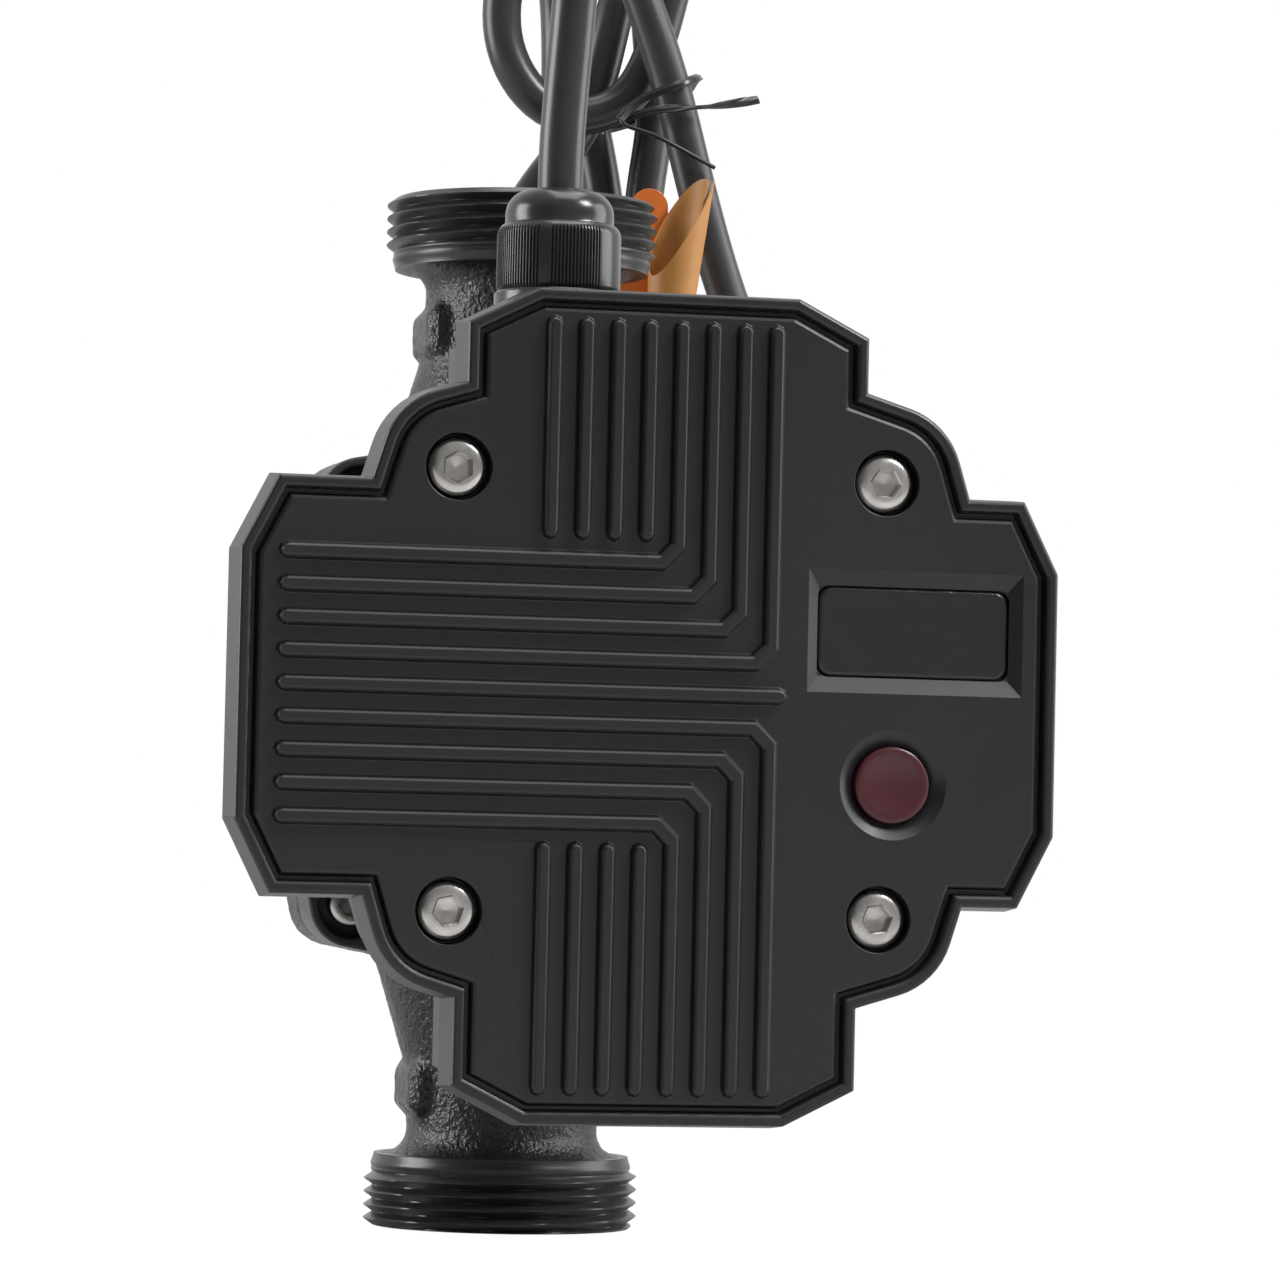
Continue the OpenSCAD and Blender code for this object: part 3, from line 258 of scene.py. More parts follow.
def rings_group() -> bpy.types.NodeTree:
    """Fine concentric marks of a turned face, or lines along an axis, as a height."""
    sheet, given, result = new_group(
        "Rings", "ShaderNodeTree",
        {"Vector": ("Vector", None), "Scale": ("Float", 1500.0), "Along": ("Float", 0.0)},
        {"Height": "Float"})
    parts = sheet.parts(given["Vector"])
    flat = sheet.vector(X=parts["X"], Z=parts["Z"])
    away = sheet.add("ShaderNodeVectorMath", {0: flat}, operation="LENGTH").outputs["Value"]
    line = sheet.math("ADD", away, sheet.math("MULTIPLY", parts["Y"], given["Along"]))
    sheet.feed(result["Height"], sheet.noise(sheet.vector(X=line), given["Scale"], 2.0))
    return sheet.tree


@dataclass
class Effects:
    """The shader groups that several finishes share, built once."""

    grain: bpy.types.NodeTree = field(default_factory=grain_group)
    dust: bpy.types.NodeTree = field(default_factory=dust_group)
    handling: bpy.types.NodeTree = field(default_factory=handling_group)
    rings: bpy.types.NodeTree = field(default_factory=rings_group)


# Finishes


@dataclass(frozen=True)
class Finish:
    """A coated or moulded finish with its own grain, gloss and dust."""

    name: str
    slot: str
    colour: Triple
    roughness: float = 0.45
    metallic: float = 0.0
    grain_per_metre: float = 1500.0
    grain_depth: float = 0.012
    coarse: float = 0.3
    tone_spread: float = 0.16
    gloss_spread: float = 0.08
    dust: float = 0.0
    coat: float = 0.0

    def pattern(self, sheet: Sheet, place: Socket, effects: Effects, height: Socket) -> Socket:
        """Height of the surface; a finish with a pattern of its own adds to the grain's."""
        return height

    def tint(self, sheet: Sheet, place: Socket, colour: Socket) -> Socket:
        """Colour of the surface; a finish with a pattern of its own changes it."""
        return colour

    def build(self, effects: Effects) -> bpy.types.Material:
        """Builds the material.

        Args:
            effects: The shared shader groups.

        Returns:
            The node-based material.
        """
        material = bpy.data.materials.new(self.name)
        sheet = Sheet.blank(material)
        place = sheet.add("ShaderNodeTexCoord").outputs["Object"]
        grain = sheet.group(effects.grain, Vector=place, Scale=self.grain_per_metre,
                            Coarse=self.coarse)
        low = tuple(c * (1 - self.tone_spread) for c in self.colour)
        high = tuple(min(1.0, c * (1 + self.tone_spread)) for c in self.colour)
        colour = sheet.blend(grain["Tone"], (*low, 1.0), (*high, 1.0))
        colour = self.tint(sheet, place, colour)
        if self.dust:
            specks = sheet.group(effects.dust, Vector=place, Amount=self.dust)
            colour = sheet.blend(specks["Mask"], colour, DUST)
        smear = sheet.group(effects.handling, Vector=place, Amount=self.gloss_spread * 4)
        rough = sheet.math("ADD", smear["Gloss"], self.roughness, clamp=True)
        height = self.pattern(sheet, place, effects, grain["Height"])
        bump = sheet.made("ShaderNodeBump", {
            "Strength": 1.0, "Distance": self.grain_depth * MM, "Height": height})
        shader = sheet.made("ShaderNodeBsdfPrincipled", {
            "Base Color": colour, "Roughness": rough, "Normal": bump, "Metallic": self.metallic,
            "Coat Weight": self.coat, "Coat Roughness": 0.12})
        sheet.add("ShaderNodeOutputMaterial", {"Surface": shader})
        return material


@dataclass(frozen=True)
class TurnedFinish(Finish):
    """Bare metal with the marks of the lathe round the motor's axis."""

    lines_per_metre: float = 4000.0

    def pattern(self, sheet: Sheet, place: Socket, effects: Effects, height: Socket) -> Socket:
        """Adds the tool's fine rings to the grain."""
        centred = sheet.mapped(place, Location=(0.0, 0.0, -AXIS_Z * MM))
        rings = sheet.group(effects.rings, Vector=centred, Scale=self.lines_per_metre, Along=1.0)
        return sheet.math("ADD", rings["Height"], sheet.math("MULTIPLY", height, 0.3))


@dataclass(frozen=True)
class StripedFinish(Finish):
    """Stacked sheets or a printed sleeve: even lines across one direction."""

    pitch: float = 0.5
    across: Triple = (0.0, 1.0, 0.0)
    dark: float = 0.45

    def _wave(self, sheet: Sheet, place: Socket) -> Socket:
        """The lines as a value from 0 to 1."""
        phase = sheet.math("MULTIPLY", sheet.reach(place, self.across),
                           FULL_TURN / (self.pitch * MM))
        return sheet.spread(sheet.math("SINE", phase), 0.0, 1.0, -1.0, 1.0)

    def pattern(self, sheet: Sheet, place: Socket, effects: Effects, height: Socket) -> Socket:
        """Adds the lines to the grain."""
        return sheet.math("ADD", sheet.math("MULTIPLY", self._wave(sheet, place), 2.0), height)

    def tint(self, sheet: Sheet, place: Socket, colour: Socket) -> Socket:
        """Darkens the gaps between the lines."""
        shade = sheet.spread(self._wave(sheet, place), self.dark, 1.0, 0.0, 0.5)
        return sheet.made("ShaderNodeVectorMath", {0: colour, "Scale": shade},
                          operation="SCALE")


@dataclass(frozen=True)
class BoardFinish(Finish):
    """Solder mask over copper tracks, with bare pads."""

    track: Colour = (0.05, 0.27, 0.11, 1.0)
    pad: Colour = (0.6, 0.58, 0.5, 1.0)
    pad_reach: float = 0.13

    def tint(self, sheet: Sheet, place: Socket, colour: Socket) -> Socket:
        """Lays lighter tracks and pale pads over the mask's green."""
        turned = sheet.mapped(place, Rotation=(math.pi / 2, 0.0, 0.0))
        bricks = sheet.add("ShaderNodeTexBrick", {
            "Vector": turned, "Scale": 160.0, "Mortar Size": 0.07, "Brick Width": 0.9,
            "Row Height": 0.35}, offset=0.35)
        cells = sheet.add("ShaderNodeTexVoronoi", {"Vector": place, "Scale": 240.0})
        near = sheet.math("LESS_THAN", cells.outputs["Distance"], self.pad_reach)
        tracks = sheet.blend(bricks.outputs["Fac"], colour, self.track)
        return sheet.blend(near, tracks, self.pad)


@dataclass(frozen=True)
class SheathFinish(Finish):
    """Extruded cable sheath: faint streaks along the lead, from the piece's own UV map."""

    def pattern(self, sheet: Sheet, place: Socket, effects: Effects, height: Socket) -> Socket:
        """Adds the streaks of the extruder."""
        along = sheet.made("ShaderNodeUVMap", uv_map="Along")
        streak = sheet.noise(sheet.mapped(along, Scale=(0.6, 40.0, 1.0)), 1.0)
        return sheet.math("ADD", sheet.math("MULTIPLY", streak, 1.6), height)


@dataclass(frozen=True)
class WindowFinish(Finish):
    """Glossy clear film over a dark ground, a little wavy along its edge."""

    top_margin: float = 2.4
    side_margin: float = 1.6

    def pattern(self, sheet: Sheet, place: Socket, effects: Effects, height: Socket) -> Socket:
        """Ripples the film close to its edge, most along the top."""
        parts = sheet.parts(place)
        half_x, half_z = (size / 2 for size in WINDOW_SIZE)
        side = sheet.math("ABSOLUTE", sheet.math("SUBTRACT", parts["X"], WINDOW_CENTRE[0] * MM))
        rise = sheet.math("SUBTRACT", parts["Z"], WINDOW_CENTRE[1] * MM)
        top = sheet.spread(rise, 0.0, 1.0, (half_z - self.top_margin) * MM, half_z * MM)
        flank = sheet.spread(side, 0.0, 0.4, (half_x - self.side_margin) * MM, half_x * MM)
        ripple = sheet.math("MULTIPLY", sheet.noise(place, 700.0),
                            sheet.math("MAXIMUM", top, flank), 9.0)
        return sheet.math("ADD", ripple, sheet.math("MULTIPLY", height, 0.2))


FINISHES: tuple[Finish, ...] = (
    Finish("cast_black", "cast_iron", (0.0095, 0.0095, 0.0098), 0.34, grain_per_metre=1250,
           grain_depth=0.38, coarse=0.8, tone_spread=0.35, gloss_spread=0.12, dust=0.08),
    Finish("thread_black", "cast_iron", (0.016, 0.016, 0.0165), 0.30, grain_per_metre=2600,
           tone_spread=0.3, dust=0.05),
    Finish("cover_coat", "cover_black", (0.0115, 0.0115, 0.0135), 0.36, grain_per_metre=2300,
           grain_depth=0.0045, coarse=0.6, tone_spread=0.1, gloss_spread=0.05, dust=0.012),
    Finish("box_coat", "box_black", (0.0135, 0.0135, 0.0145), 0.38, grain_per_metre=2300,
           grain_depth=0.006, coarse=0.6, gloss_spread=0.05, dust=0.01),
    # The motor's black is about twice as light as the cover's: painted light for the brightly lit
    # left faces of its lugs.
    Finish("motor_coat_painted_light", "motor_black", (0.026, 0.026, 0.027), 0.38, grain_per_metre=1900,
           coarse=0.8, dust=0.015),
    TurnedFinish("screw_steel", "screw_steel", (0.54, 0.52, 0.495), 0.25, 1.0,
                 grain_depth=0.02, tone_spread=0.35, gloss_spread=0.10),
    TurnedFinish("sheet_steel", "stainless", (0.56, 0.57, 0.58), 0.33, 1.0, grain_depth=0.006,
                 lines_per_metre=2500),
    Finish("impeller_plastic", "impeller_plastic", (0.36, 0.32, 0.25), 0.5, grain_depth=0.01),
    TurnedFinish("ceramic", "ceramic", (0.74, 0.73, 0.69), 0.18, grain_depth=0.002, coat=0.2),
    TurnedFinish("magnet", "magnet_steel", (0.14, 0.14, 0.15), 0.4, 0.6, grain_depth=0.01),
    TurnedFinish("carbon", "carbon", (0.045, 0.045, 0.046), 0.5),
    Finish("seal_rubber", "seal_rubber", (0.018, 0.018, 0.018), 0.65, grain_per_metre=2500),
    StripedFinish("laminations", "laminations", (0.26, 0.26, 0.27), 0.4, 0.8,
                  grain_depth=0.03, pitch=0.5),
    Finish("copper_wire", "copper", (0.50, 0.20, 0.085), 0.28, 0.7, grain_depth=0.006,
           tone_spread=0.25, coat=0.4),
    BoardFinish("circuit_board", "circuit_board", (0.02, 0.13, 0.055), 0.3, grain_depth=0.01,
                coat=0.3),
    Finish("terminal_plastic", "terminal_plastic", (0.04, 0.17, 0.1), 0.4, grain_depth=0.01),
    StripedFinish("capacitor_sleeve", "capacitor_sleeve", (0.025, 0.04, 0.13), 0.25,
                  grain_depth=0.008, pitch=9.0, across=(1.0, 0.0, 0.0), dark=0.6, coat=0.3),
    Finish("switch_plastic", "switch_black", (0.025, 0.025, 0.025), 0.45, grain_depth=0.01),
    WindowFinish("window_film", "window_dark", (0.011, 0.011, 0.0115), 0.30, grain_depth=0.02,
                 tone_spread=0.2, gloss_spread=0.04, coat=0.12),
    Finish("button_maroon", "button_maroon", (0.058, 0.008, 0.013), 0.30, grain_per_metre=2600,
           grain_depth=0.006, tone_spread=0.12, dust=0.01),
    Finish("gland_nylon", "gland_black", (0.021, 0.021, 0.022), 0.24, grain_per_metre=1800,
           grain_depth=0.003, tone_spread=0.1, gloss_spread=0.04),
    SheathFinish("cable_sheath", "cable_black", (0.027, 0.027, 0.029), 0.33,
                 grain_per_metre=2200, grain_depth=0.006, tone_spread=0.12, dust=0.02),
    Finish("tie_plastic", "tie_black", (0.012, 0.012, 0.012), 0.3, grain_depth=0.01),
    Finish("tag_film", "tag_ochre", (0.38, 0.165, 0.035), 0.55, grain_per_metre=1200,
           tone_spread=0.1),
    Finish("tab_film", "tag_orange", (0.60, 0.14, 0.010), 0.35, grain_per_metre=900,
           grain_depth=0.02, tone_spread=0.1, coat=0.1),
    Finish("plug_plastic", "plug_black", (0.02, 0.02, 0.022), 0.42, grain_depth=0.02),
)

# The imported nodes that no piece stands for, by their finish
NODE_FINISHES: dict[str, tuple[str, ...]] = {
    "sheet_steel": ("neck_ring", "bearing_plate", "rotor_can"),
    "impeller_plastic": ("impeller",),
    "ceramic": ("rotor_shaft",),
    "magnet": ("rotor_magnet",),
    "carbon": ("thrust_ring", "front_bearing", "rear_bearing"),
    "seal_rubber": ("housing_o_ring", "cover_seal", "gland_seal"),
    "laminations": ("stator_core",),
    "circuit_board": ("control_pcb",),
    "terminal_plastic": ("terminal_block",),
    "capacitor_sleeve": ("power_capacitor",),
    "switch_plastic": ("tact_switch", "display_module"),
    "gland_nylon": ("gland_locknut", "cable_tail"),
}


class Bench:
    """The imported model, the finishes, and the way that each piece is handed over."""

    def __init__(self) -> None:
        """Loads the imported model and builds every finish."""
        self.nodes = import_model()["nodes"]
        effects = Effects()
        self.finishes = {f.name: f for f in FINISHES}
        self.materials = {f.name: f.build(effects) for f in FINISHES}

    def hand_over(self, piece: bpy.types.Object, finish: str, *replaced: str,
                  body: Body = Body.PUMP) -> bpy.types.Object:
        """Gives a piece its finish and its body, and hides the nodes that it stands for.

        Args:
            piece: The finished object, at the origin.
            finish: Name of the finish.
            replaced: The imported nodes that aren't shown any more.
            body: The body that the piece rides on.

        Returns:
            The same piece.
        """
        piece.data.materials.clear()
        piece.data.materials.append(self.materials[finish])
        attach(piece, body.value)
        if replaced:
            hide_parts(*replaced)
        LOG.info("%s: %d faces", piece.name, len(piece.data.polygons))
        return piece

    def dress_nodes(self) -> None:
        """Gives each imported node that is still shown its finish."""
        for finish, names in NODE_FINISHES.items():
            for node in (self.nodes[name] for name in names):
                if not node.material_slots:
                    node.data.materials.append(self.materials[finish])
                for slot in node.material_slots:
                    slot.material = self.materials[finish]

    def copy_of(self, node: str, name: str, angle: float = 0.6) -> bpy.types.Object:
        """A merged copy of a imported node, with its flat faces joined up.

        Args:
            node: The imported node.
            name: The new piece's name.
            angle: Largest angle between faces that are joined, in degrees; 0 joins none.

        Returns:
            The new object.
        """
        mesh = self.nodes[node].data.copy()
        with edited(mesh) as build:
            bmesh.ops.remove_doubles(build, verts=build.verts, dist=0.002 * MM)
            if angle:
                bmesh.ops.dissolve_limit(build, angle_limit=math.radians(angle),
                                         verts=build.verts, edges=build.edges)
        return put(name, mesh)

    def rounded(self, node: str, name: str, finish: str, width: float, steps: int = 2,
                angle: float = 30.0) -> bpy.types.Object:
        """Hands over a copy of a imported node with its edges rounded, in the node's place.

        Args:
            node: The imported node.
            name: The new piece's name.
            finish: Name of its finish.
            width: Width of the rounding, in millimetres.
            steps: Faces across each rounding.
            angle: Edges sharper than this, in degrees, are rounded.

        Returns:
            The new object.
        """
        piece = soften(self.copy_of(node, name), width, steps, angle)
        return self.hand_over(piece, finish, node)


# Mesh helpers


def put(name: str, data: bpy.types.ID) -> bpy.types.Object:
    """Adds an object with its data to the scene."""
    made = bpy.data.objects.new(name, data)
    bpy.context.scene.collection.objects.link(made)
    return made


@contextmanager
def edited(mesh: bpy.types.Mesh) -> Iterator[bmesh.types.BMesh]:
    """Opens a mesh for changes and writes them back at the end."""
    build = bmesh.new()
    build.from_mesh(mesh)
    yield build
    build.to_mesh(mesh)
    build.free()


def modify(piece: bpy.types.Object, kind: str, **settings: object) -> None:
    """Adds a modifier to a piece."""
    modifier = piece.modifiers.new(kind.lower(), kind)
    for key, value in settings.items():
        setattr(modifier, key, value)


def new_piece(name: str, skin: Skin, smooth: float = 35.0) -> bpy.types.Object:
    """Makes an object from points in millimetres.

    Args:
        name: The piece's name.
        skin: Its points and faces.
        smooth: Edges sharper than this angle, in degrees, stay sharp.

    Returns:
        The new object, at the origin.
    """
    points, faces = skin
    mesh = bpy.data.meshes.new(name)
    mesh.from_pydata((points * MM).tolist(), [], faces)
    with edited(mesh) as build:
        bmesh.ops.recalc_face_normals(build, faces=build.faces)
    mesh.shade_smooth()
    mesh.set_sharp_from_angle(angle=math.radians(smooth))
    return put(name, mesh)


def apply_all(piece: bpy.types.Object) -> bpy.types.Object:
    """Turns a piece and its modifiers into a plain mesh."""
    graph = bpy.context.evaluated_depsgraph_get()
    graph.update()
    mesh = bpy.data.meshes.new_from_object(
        piece.evaluated_get(graph), preserve_all_data_layers=True, depsgraph=graph)
    piece.modifiers.clear()
    old = piece.data
    piece.data = mesh
    if old.users == 0:
        bpy.data.meshes.remove(old)
    return piece


def soften(piece: bpy.types.Object, width: float, steps: int = 2, angle: float = 26.0,
           share: Callable[[Vector], float] | None = None) -> bpy.types.Object:
    """Rounds a piece's edges.

    Args:
        piece: The object.
        width: Width of the rounding, in millimetres.
        steps: Faces across each rounding.
        angle: Edges sharper than this, in degrees, are rounded.
        share: Tells from an edge's middle, in millimetres, which part of the width it
            gets. An edge with none stays sharp.

    Returns:
        The same piece as a plain mesh with smooth shading.
    """
    with edited(piece.data) as build:
        weight = build.edges.layers.float.new("bevel_weight_edge")
        for edge in build.edges:
            if edge.calc_face_angle(0.0) > math.radians(angle):
                middle = (edge.verts[0].co + edge.verts[1].co) / 2 / MM
                edge[weight] = share(middle) if share else 1.0
                edge.smooth = edge[weight] > 0.0
    modify(piece, "BEVEL", width=width * MM, segments=steps, limit_method="WEIGHT",
           use_clamp_overlap=False, miter_outer="MITER_ARC")
    modify(piece, "WEIGHTED_NORMAL", mode="FACE_AREA", weight=80, keep_sharp=True)
    return apply_all(piece)


def loft(rings: np.ndarray, caps: bool = True, closed: bool = False) -> Skin:
    """Skins a row of rings.

    Args:
        rings: Points of each ring, as (rings, points, 3).
        caps: True to close both ends.
        closed: True to join the last ring to the first.

    Returns:
        Points and faces.
    """
    m, n = rings.shape[:2]
    faces: list[tuple[int, ...]] = []
    for k in range(m if closed else m - 1):
        low, high = k * n, ((k + 1) % m) * n
        faces += [(low + i, low + (i + 1) % n, high + (i + 1) % n, high + i) for i in range(n)]
    if caps and not closed:
        faces.append(tuple(range(n - 1, -1, -1)))
        faces.append(tuple((m - 1) * n + i for i in range(n)))
    return rings.reshape(-1, 3), faces


def join(*skins: Skin) -> Skin:
    """Several skins as one."""
    points: list[np.ndarray] = []
    faces: list[tuple[int, ...]] = []
    count = 0
    for some, around in skins:
        points.append(np.asarray(some))
        faces += [tuple(i + count for i in face) for face in around]
        count += len(some)
    return np.concatenate(points), faces


def angles(steps: int) -> np.ndarray:
    """Even angles round a full turn, in radians."""
    return np.linspace(0, FULL_TURN, steps, endpoint=False)


def circle(radius: float, steps: int) -> np.ndarray:
    """Points of a circle in its own plane."""
    turn = angles(steps)
    return radius * np.stack([np.cos(turn), np.sin(turn)], axis=1)


def rounded_rectangle(half_x: float, half_y: float, radius: float, steps: int) -> np.ndarray:
    """Points of a rectangle with round corners, in its own plane.

    Args:
        half_x: Half of its width.
        half_y: Half of its height.
        radius: Radius of its corners.
        steps: Points on each corner.

    Returns:
        The points, as (points, 2).
    """
    points = []
    for x, y, start in ((1, 1, 0), (-1, 1, 90), (-1, -1, 180), (1, -1, 270)):
        for a in np.radians(start + np.linspace(0, 90, steps)):
            points.append((x * (half_x - radius) + radius * math.cos(a),
                           y * (half_y - radius) + radius * math.sin(a)))
    return np.array(points)


def level_rings(rows: Sequence[Row], turn: np.ndarray) -> np.ndarray:
    """Level rings round Z.

    Args:
        rows: Radius and height of each ring. A radius is one number, or one at each angle.
        turn: The angles of a ring's points, in radians.

    Returns:
        The points, as (rings, points, 3).
    """
    return np.array([np.stack([r * np.cos(turn), r * np.sin(turn), np.full(len(turn), z)], 1)
                     for r, z in rows])


def distances(path: np.ndarray) -> np.ndarray:
    """How far along a path each of its points lies."""
    return np.concatenate([[0], np.cumsum(np.linalg.norm(np.diff(path, axis=0), axis=1))])


def smooth_path(points: Sequence[Triple], steps: int) -> np.ndarray:
    """A smooth curve through points, with even steps between neighbours."""
    p = np.asarray(points, float)
    last = len(p) - 1
    out = []
    for i in range(last):
        a, b, c, d = p[max(i - 1, 0)], p[i], p[i + 1], p[min(i + 2, last)]
        for k in range(steps):
            t = k / steps
            out.append(0.5 * (2 * b + (c - a) * t + (2 * a - 5 * b + 4 * c - d) * t * t
                              + (3 * b - a - 3 * c + d) * t ** 3))
    out.append(p[last])
    return np.array(out)


def eased(path: np.ndarray, gap: float, passes: int) -> np.ndarray:
    """Spaces points evenly along a path and relaxes its sharp turns a little.

    Args:
        path: The path's points.
        gap: Distance between the new points, in millimetres.
        passes: How often each point moves towards the middle of its neighbours.

    Returns:
        The new points, with the same ends.
    """
    along = distances(path)
    spots = np.linspace(0, along[-1], int(along[-1] / gap) + 1)
    even = np.stack([np.interp(spots, along, path[:, k]) for k in range(3)], axis=1)
    for _ in range(passes):
        even[2:-2] = (even[1:-3] + 2 * even[2:-2] + even[3:-1]) / 4
    return even


def frames(path: np.ndarray) -> tuple[np.ndarray, np.ndarray]:
    """Two directions across a path at each point, carried along it without twist."""
    ahead = np.gradient(path, axis=0)
    ahead /= np.linalg.norm(ahead, axis=1)[:, None]
    side = np.array([1.0, 0.0, 0.0])
    sides = []
    for direction in ahead:
        side = side - direction * side.dot(direction)
        side /= np.linalg.norm(side)
        sides.append(side)
    sides = np.array(sides)
    return sides, np.cross(ahead, sides)


def swept(path: np.ndarray, section: np.ndarray, twist: np.ndarray | float = 0.0) -> Skin:
    """Sweeps a closed section along a path.

    Args:
        path: The path's points.
        section: Points of the section in its own plane.
        twist: Turn of the section at each point, in radians.

    Returns:
        Points and faces.
    """
    side, up = frames(path)
    turn = np.broadcast_to(np.asarray(twist, float), (len(path),))
    cos, sin = np.cos(turn)[:, None], np.sin(turn)[:, None]
    u = section[None, :, 0] * cos - section[None, :, 1] * sin
    v = section[None, :, 0] * sin + section[None, :, 1] * cos
    rings = path[:, None] + u[..., None] * side[:, None] + v[..., None] * up[:, None]
    return loft(rings)


def set_on_axis(sheet: Sheet, given: Sockets, result: Sockets, geometry: Socket,
                turn: Triple) -> bpy.types.NodeTree:
    """Ends a geometry tree: sets what it made on the motor's axis and gives it its finish.

    Args:
        sheet: The sheet of the tree's nodes.
        given: The tree's inputs, with Depth and Finish among them.
        result: The tree's outputs.
        geometry: What it made, round the origin.
        turn: Its turn round each axis, in radians.

    Returns:
        The whole tree.
    """
    spot = sheet.vector(Y=sheet.math("MULTIPLY", given["Depth"], -1.0), Z=AXIS_Z * MM)
    moved = sheet.made("GeometryNodeTransform", {
        "Geometry": geometry, "Translation": spot, "Rotation": turn})
    solid = sheet.made("GeometryNodeRealizeInstances", {"Geometry": moved})
    sheet.feed(result[0], sheet.made("GeometryNodeSetMaterial", {
        "Geometry": solid, "Material": given["Finish"]}))
    return sheet.tree


def corners_tree() -> bpy.types.NodeTree:
    """Geometry nodes that set one screw at each corner of a rectangle round the motor."""
    sheet, given, result = new_group("Screws at corners", "GeometryNodeTree", {
        "Screw": ("Object", None), "Span X": ("Float", 0.068), "Span Z": ("Float", 0.068),
        "Depth": ("Float", 0.1), "Seed": ("Int", 1), "Finish": ("Material", None)},
        {"Geometry": "Geometry"})
    grid = sheet.made("GeometryNodeMeshGrid", {
        "Size X": given["Span X"], "Size Y": given["Span Z"], "Vertices X": 2, "Vertices Y": 2})
    screw = sheet.add("GeometryNodeObjectInfo", {"Object": given["Screw"]})
    turn = sheet.made("FunctionNodeRandomValue", {
        "Min": (0.0, 0.0, 0.0), "Max": (0.0, 0.0, math.pi), "Seed": given["Seed"]},
        data_type="FLOAT_VECTOR")
    placed = sheet.made("GeometryNodeInstanceOnPoints", {
        "Points": grid, "Instance": screw.outputs["Geometry"], "Rotation": turn})
    return set_on_axis(sheet, given, result, placed, (math.pi / 2, 0.0, 0.0))


def winding_tree() -> bpy.types.NodeTree:
    """Geometry nodes that stack one turn of wire along each tooth, round the motor's axis."""
    sheet, given, result = new_group("Windings on teeth", "GeometryNodeTree", {
        "Turn": ("Object", None), "Teeth": ("Int", 6), "Turns": ("Int", 12),
        "First": ("Float", 0.02), "Last": ("Float", 0.03), "Depth": ("Float", 0.06),
        "Finish": ("Material", None)}, {"Geometry": "Geometry"})
    line = sheet.made("GeometryNodeMeshLine", {
        "Count": given["Turns"], "Start Location": sheet.vector(X=given["First"]),
        "Offset": sheet.vector(X=given["Last"])}, mode="END_POINTS")
    loop = sheet.add("GeometryNodeObjectInfo", {"Object": given["Turn"]})
    stack = sheet.made("GeometryNodeInstanceOnPoints", {
        "Points": line, "Instance": loop.outputs["Geometry"]})
    solid = sheet.made("GeometryNodeRealizeInstances", {"Geometry": stack})
    teeth = sheet.made("GeometryNodeMeshLine", {
        "Count": given["Teeth"], "Offset": (0.0, 0.0, 0.0)})
    step = sheet.math("DIVIDE", FULL_TURN, given["Teeth"])
    turn = sheet.math("MULTIPLY", sheet.made("GeometryNodeInputIndex"), step)
    around = sheet.made("GeometryNodeInstanceOnPoints", {
        "Points": teeth, "Instance": solid, "Rotation": sheet.vector(Y=turn)})
    return set_on_axis(sheet, given, result, around, (0.0, 0.0, 0.0))


def grown(name: str, tree: bpy.types.NodeTree, values: dict[str, object]) -> bpy.types.Object:
    """Makes a piece with a geometry node tree and turns the result into a plain mesh.

    Args:
        name: The piece's name.
        tree: The tree.
        values: All its inputs by name. An object among them is a pattern and goes at the end.

    Returns:
        The new object, at the origin.
    """
    piece = put(name, bpy.data.meshes.new(name))
    modifier = piece.modifiers.new("nodes", "NODES")
    modifier.node_group = tree
    for item in tree.interface.items_tree:
        if item.in_out == "INPUT":
            modifier[item.identifier] = values[item.name]
    apply_all(piece)
    for pattern in [v for v in values.values() if isinstance(v, bpy.types.Object)]:
        bpy.data.objects.remove(pattern)
    return piece


# The studio


@dataclass(frozen=True)
class SoftBox:
    """One rectangular area lamp, in metres and watts."""

    name: str
    place: Triple
    aim: Triple
    width: float
    height: float
    power: float

    def build(self) -> None:
        """Adds the lamp to the scene."""
        lamp = bpy.data.lights.new(self.name, "AREA")
        lamp.shape = "RECTANGLE"
        lamp.size, lamp.size_y = self.width, self.height
        lamp.energy = self.power
        box = put(self.name, lamp)
        box.location = self.place
        ahead = Vector(self.aim) - Vector(self.place)
        box.rotation_euler = ahead.to_track_quat("-Z", "Y").to_euler()


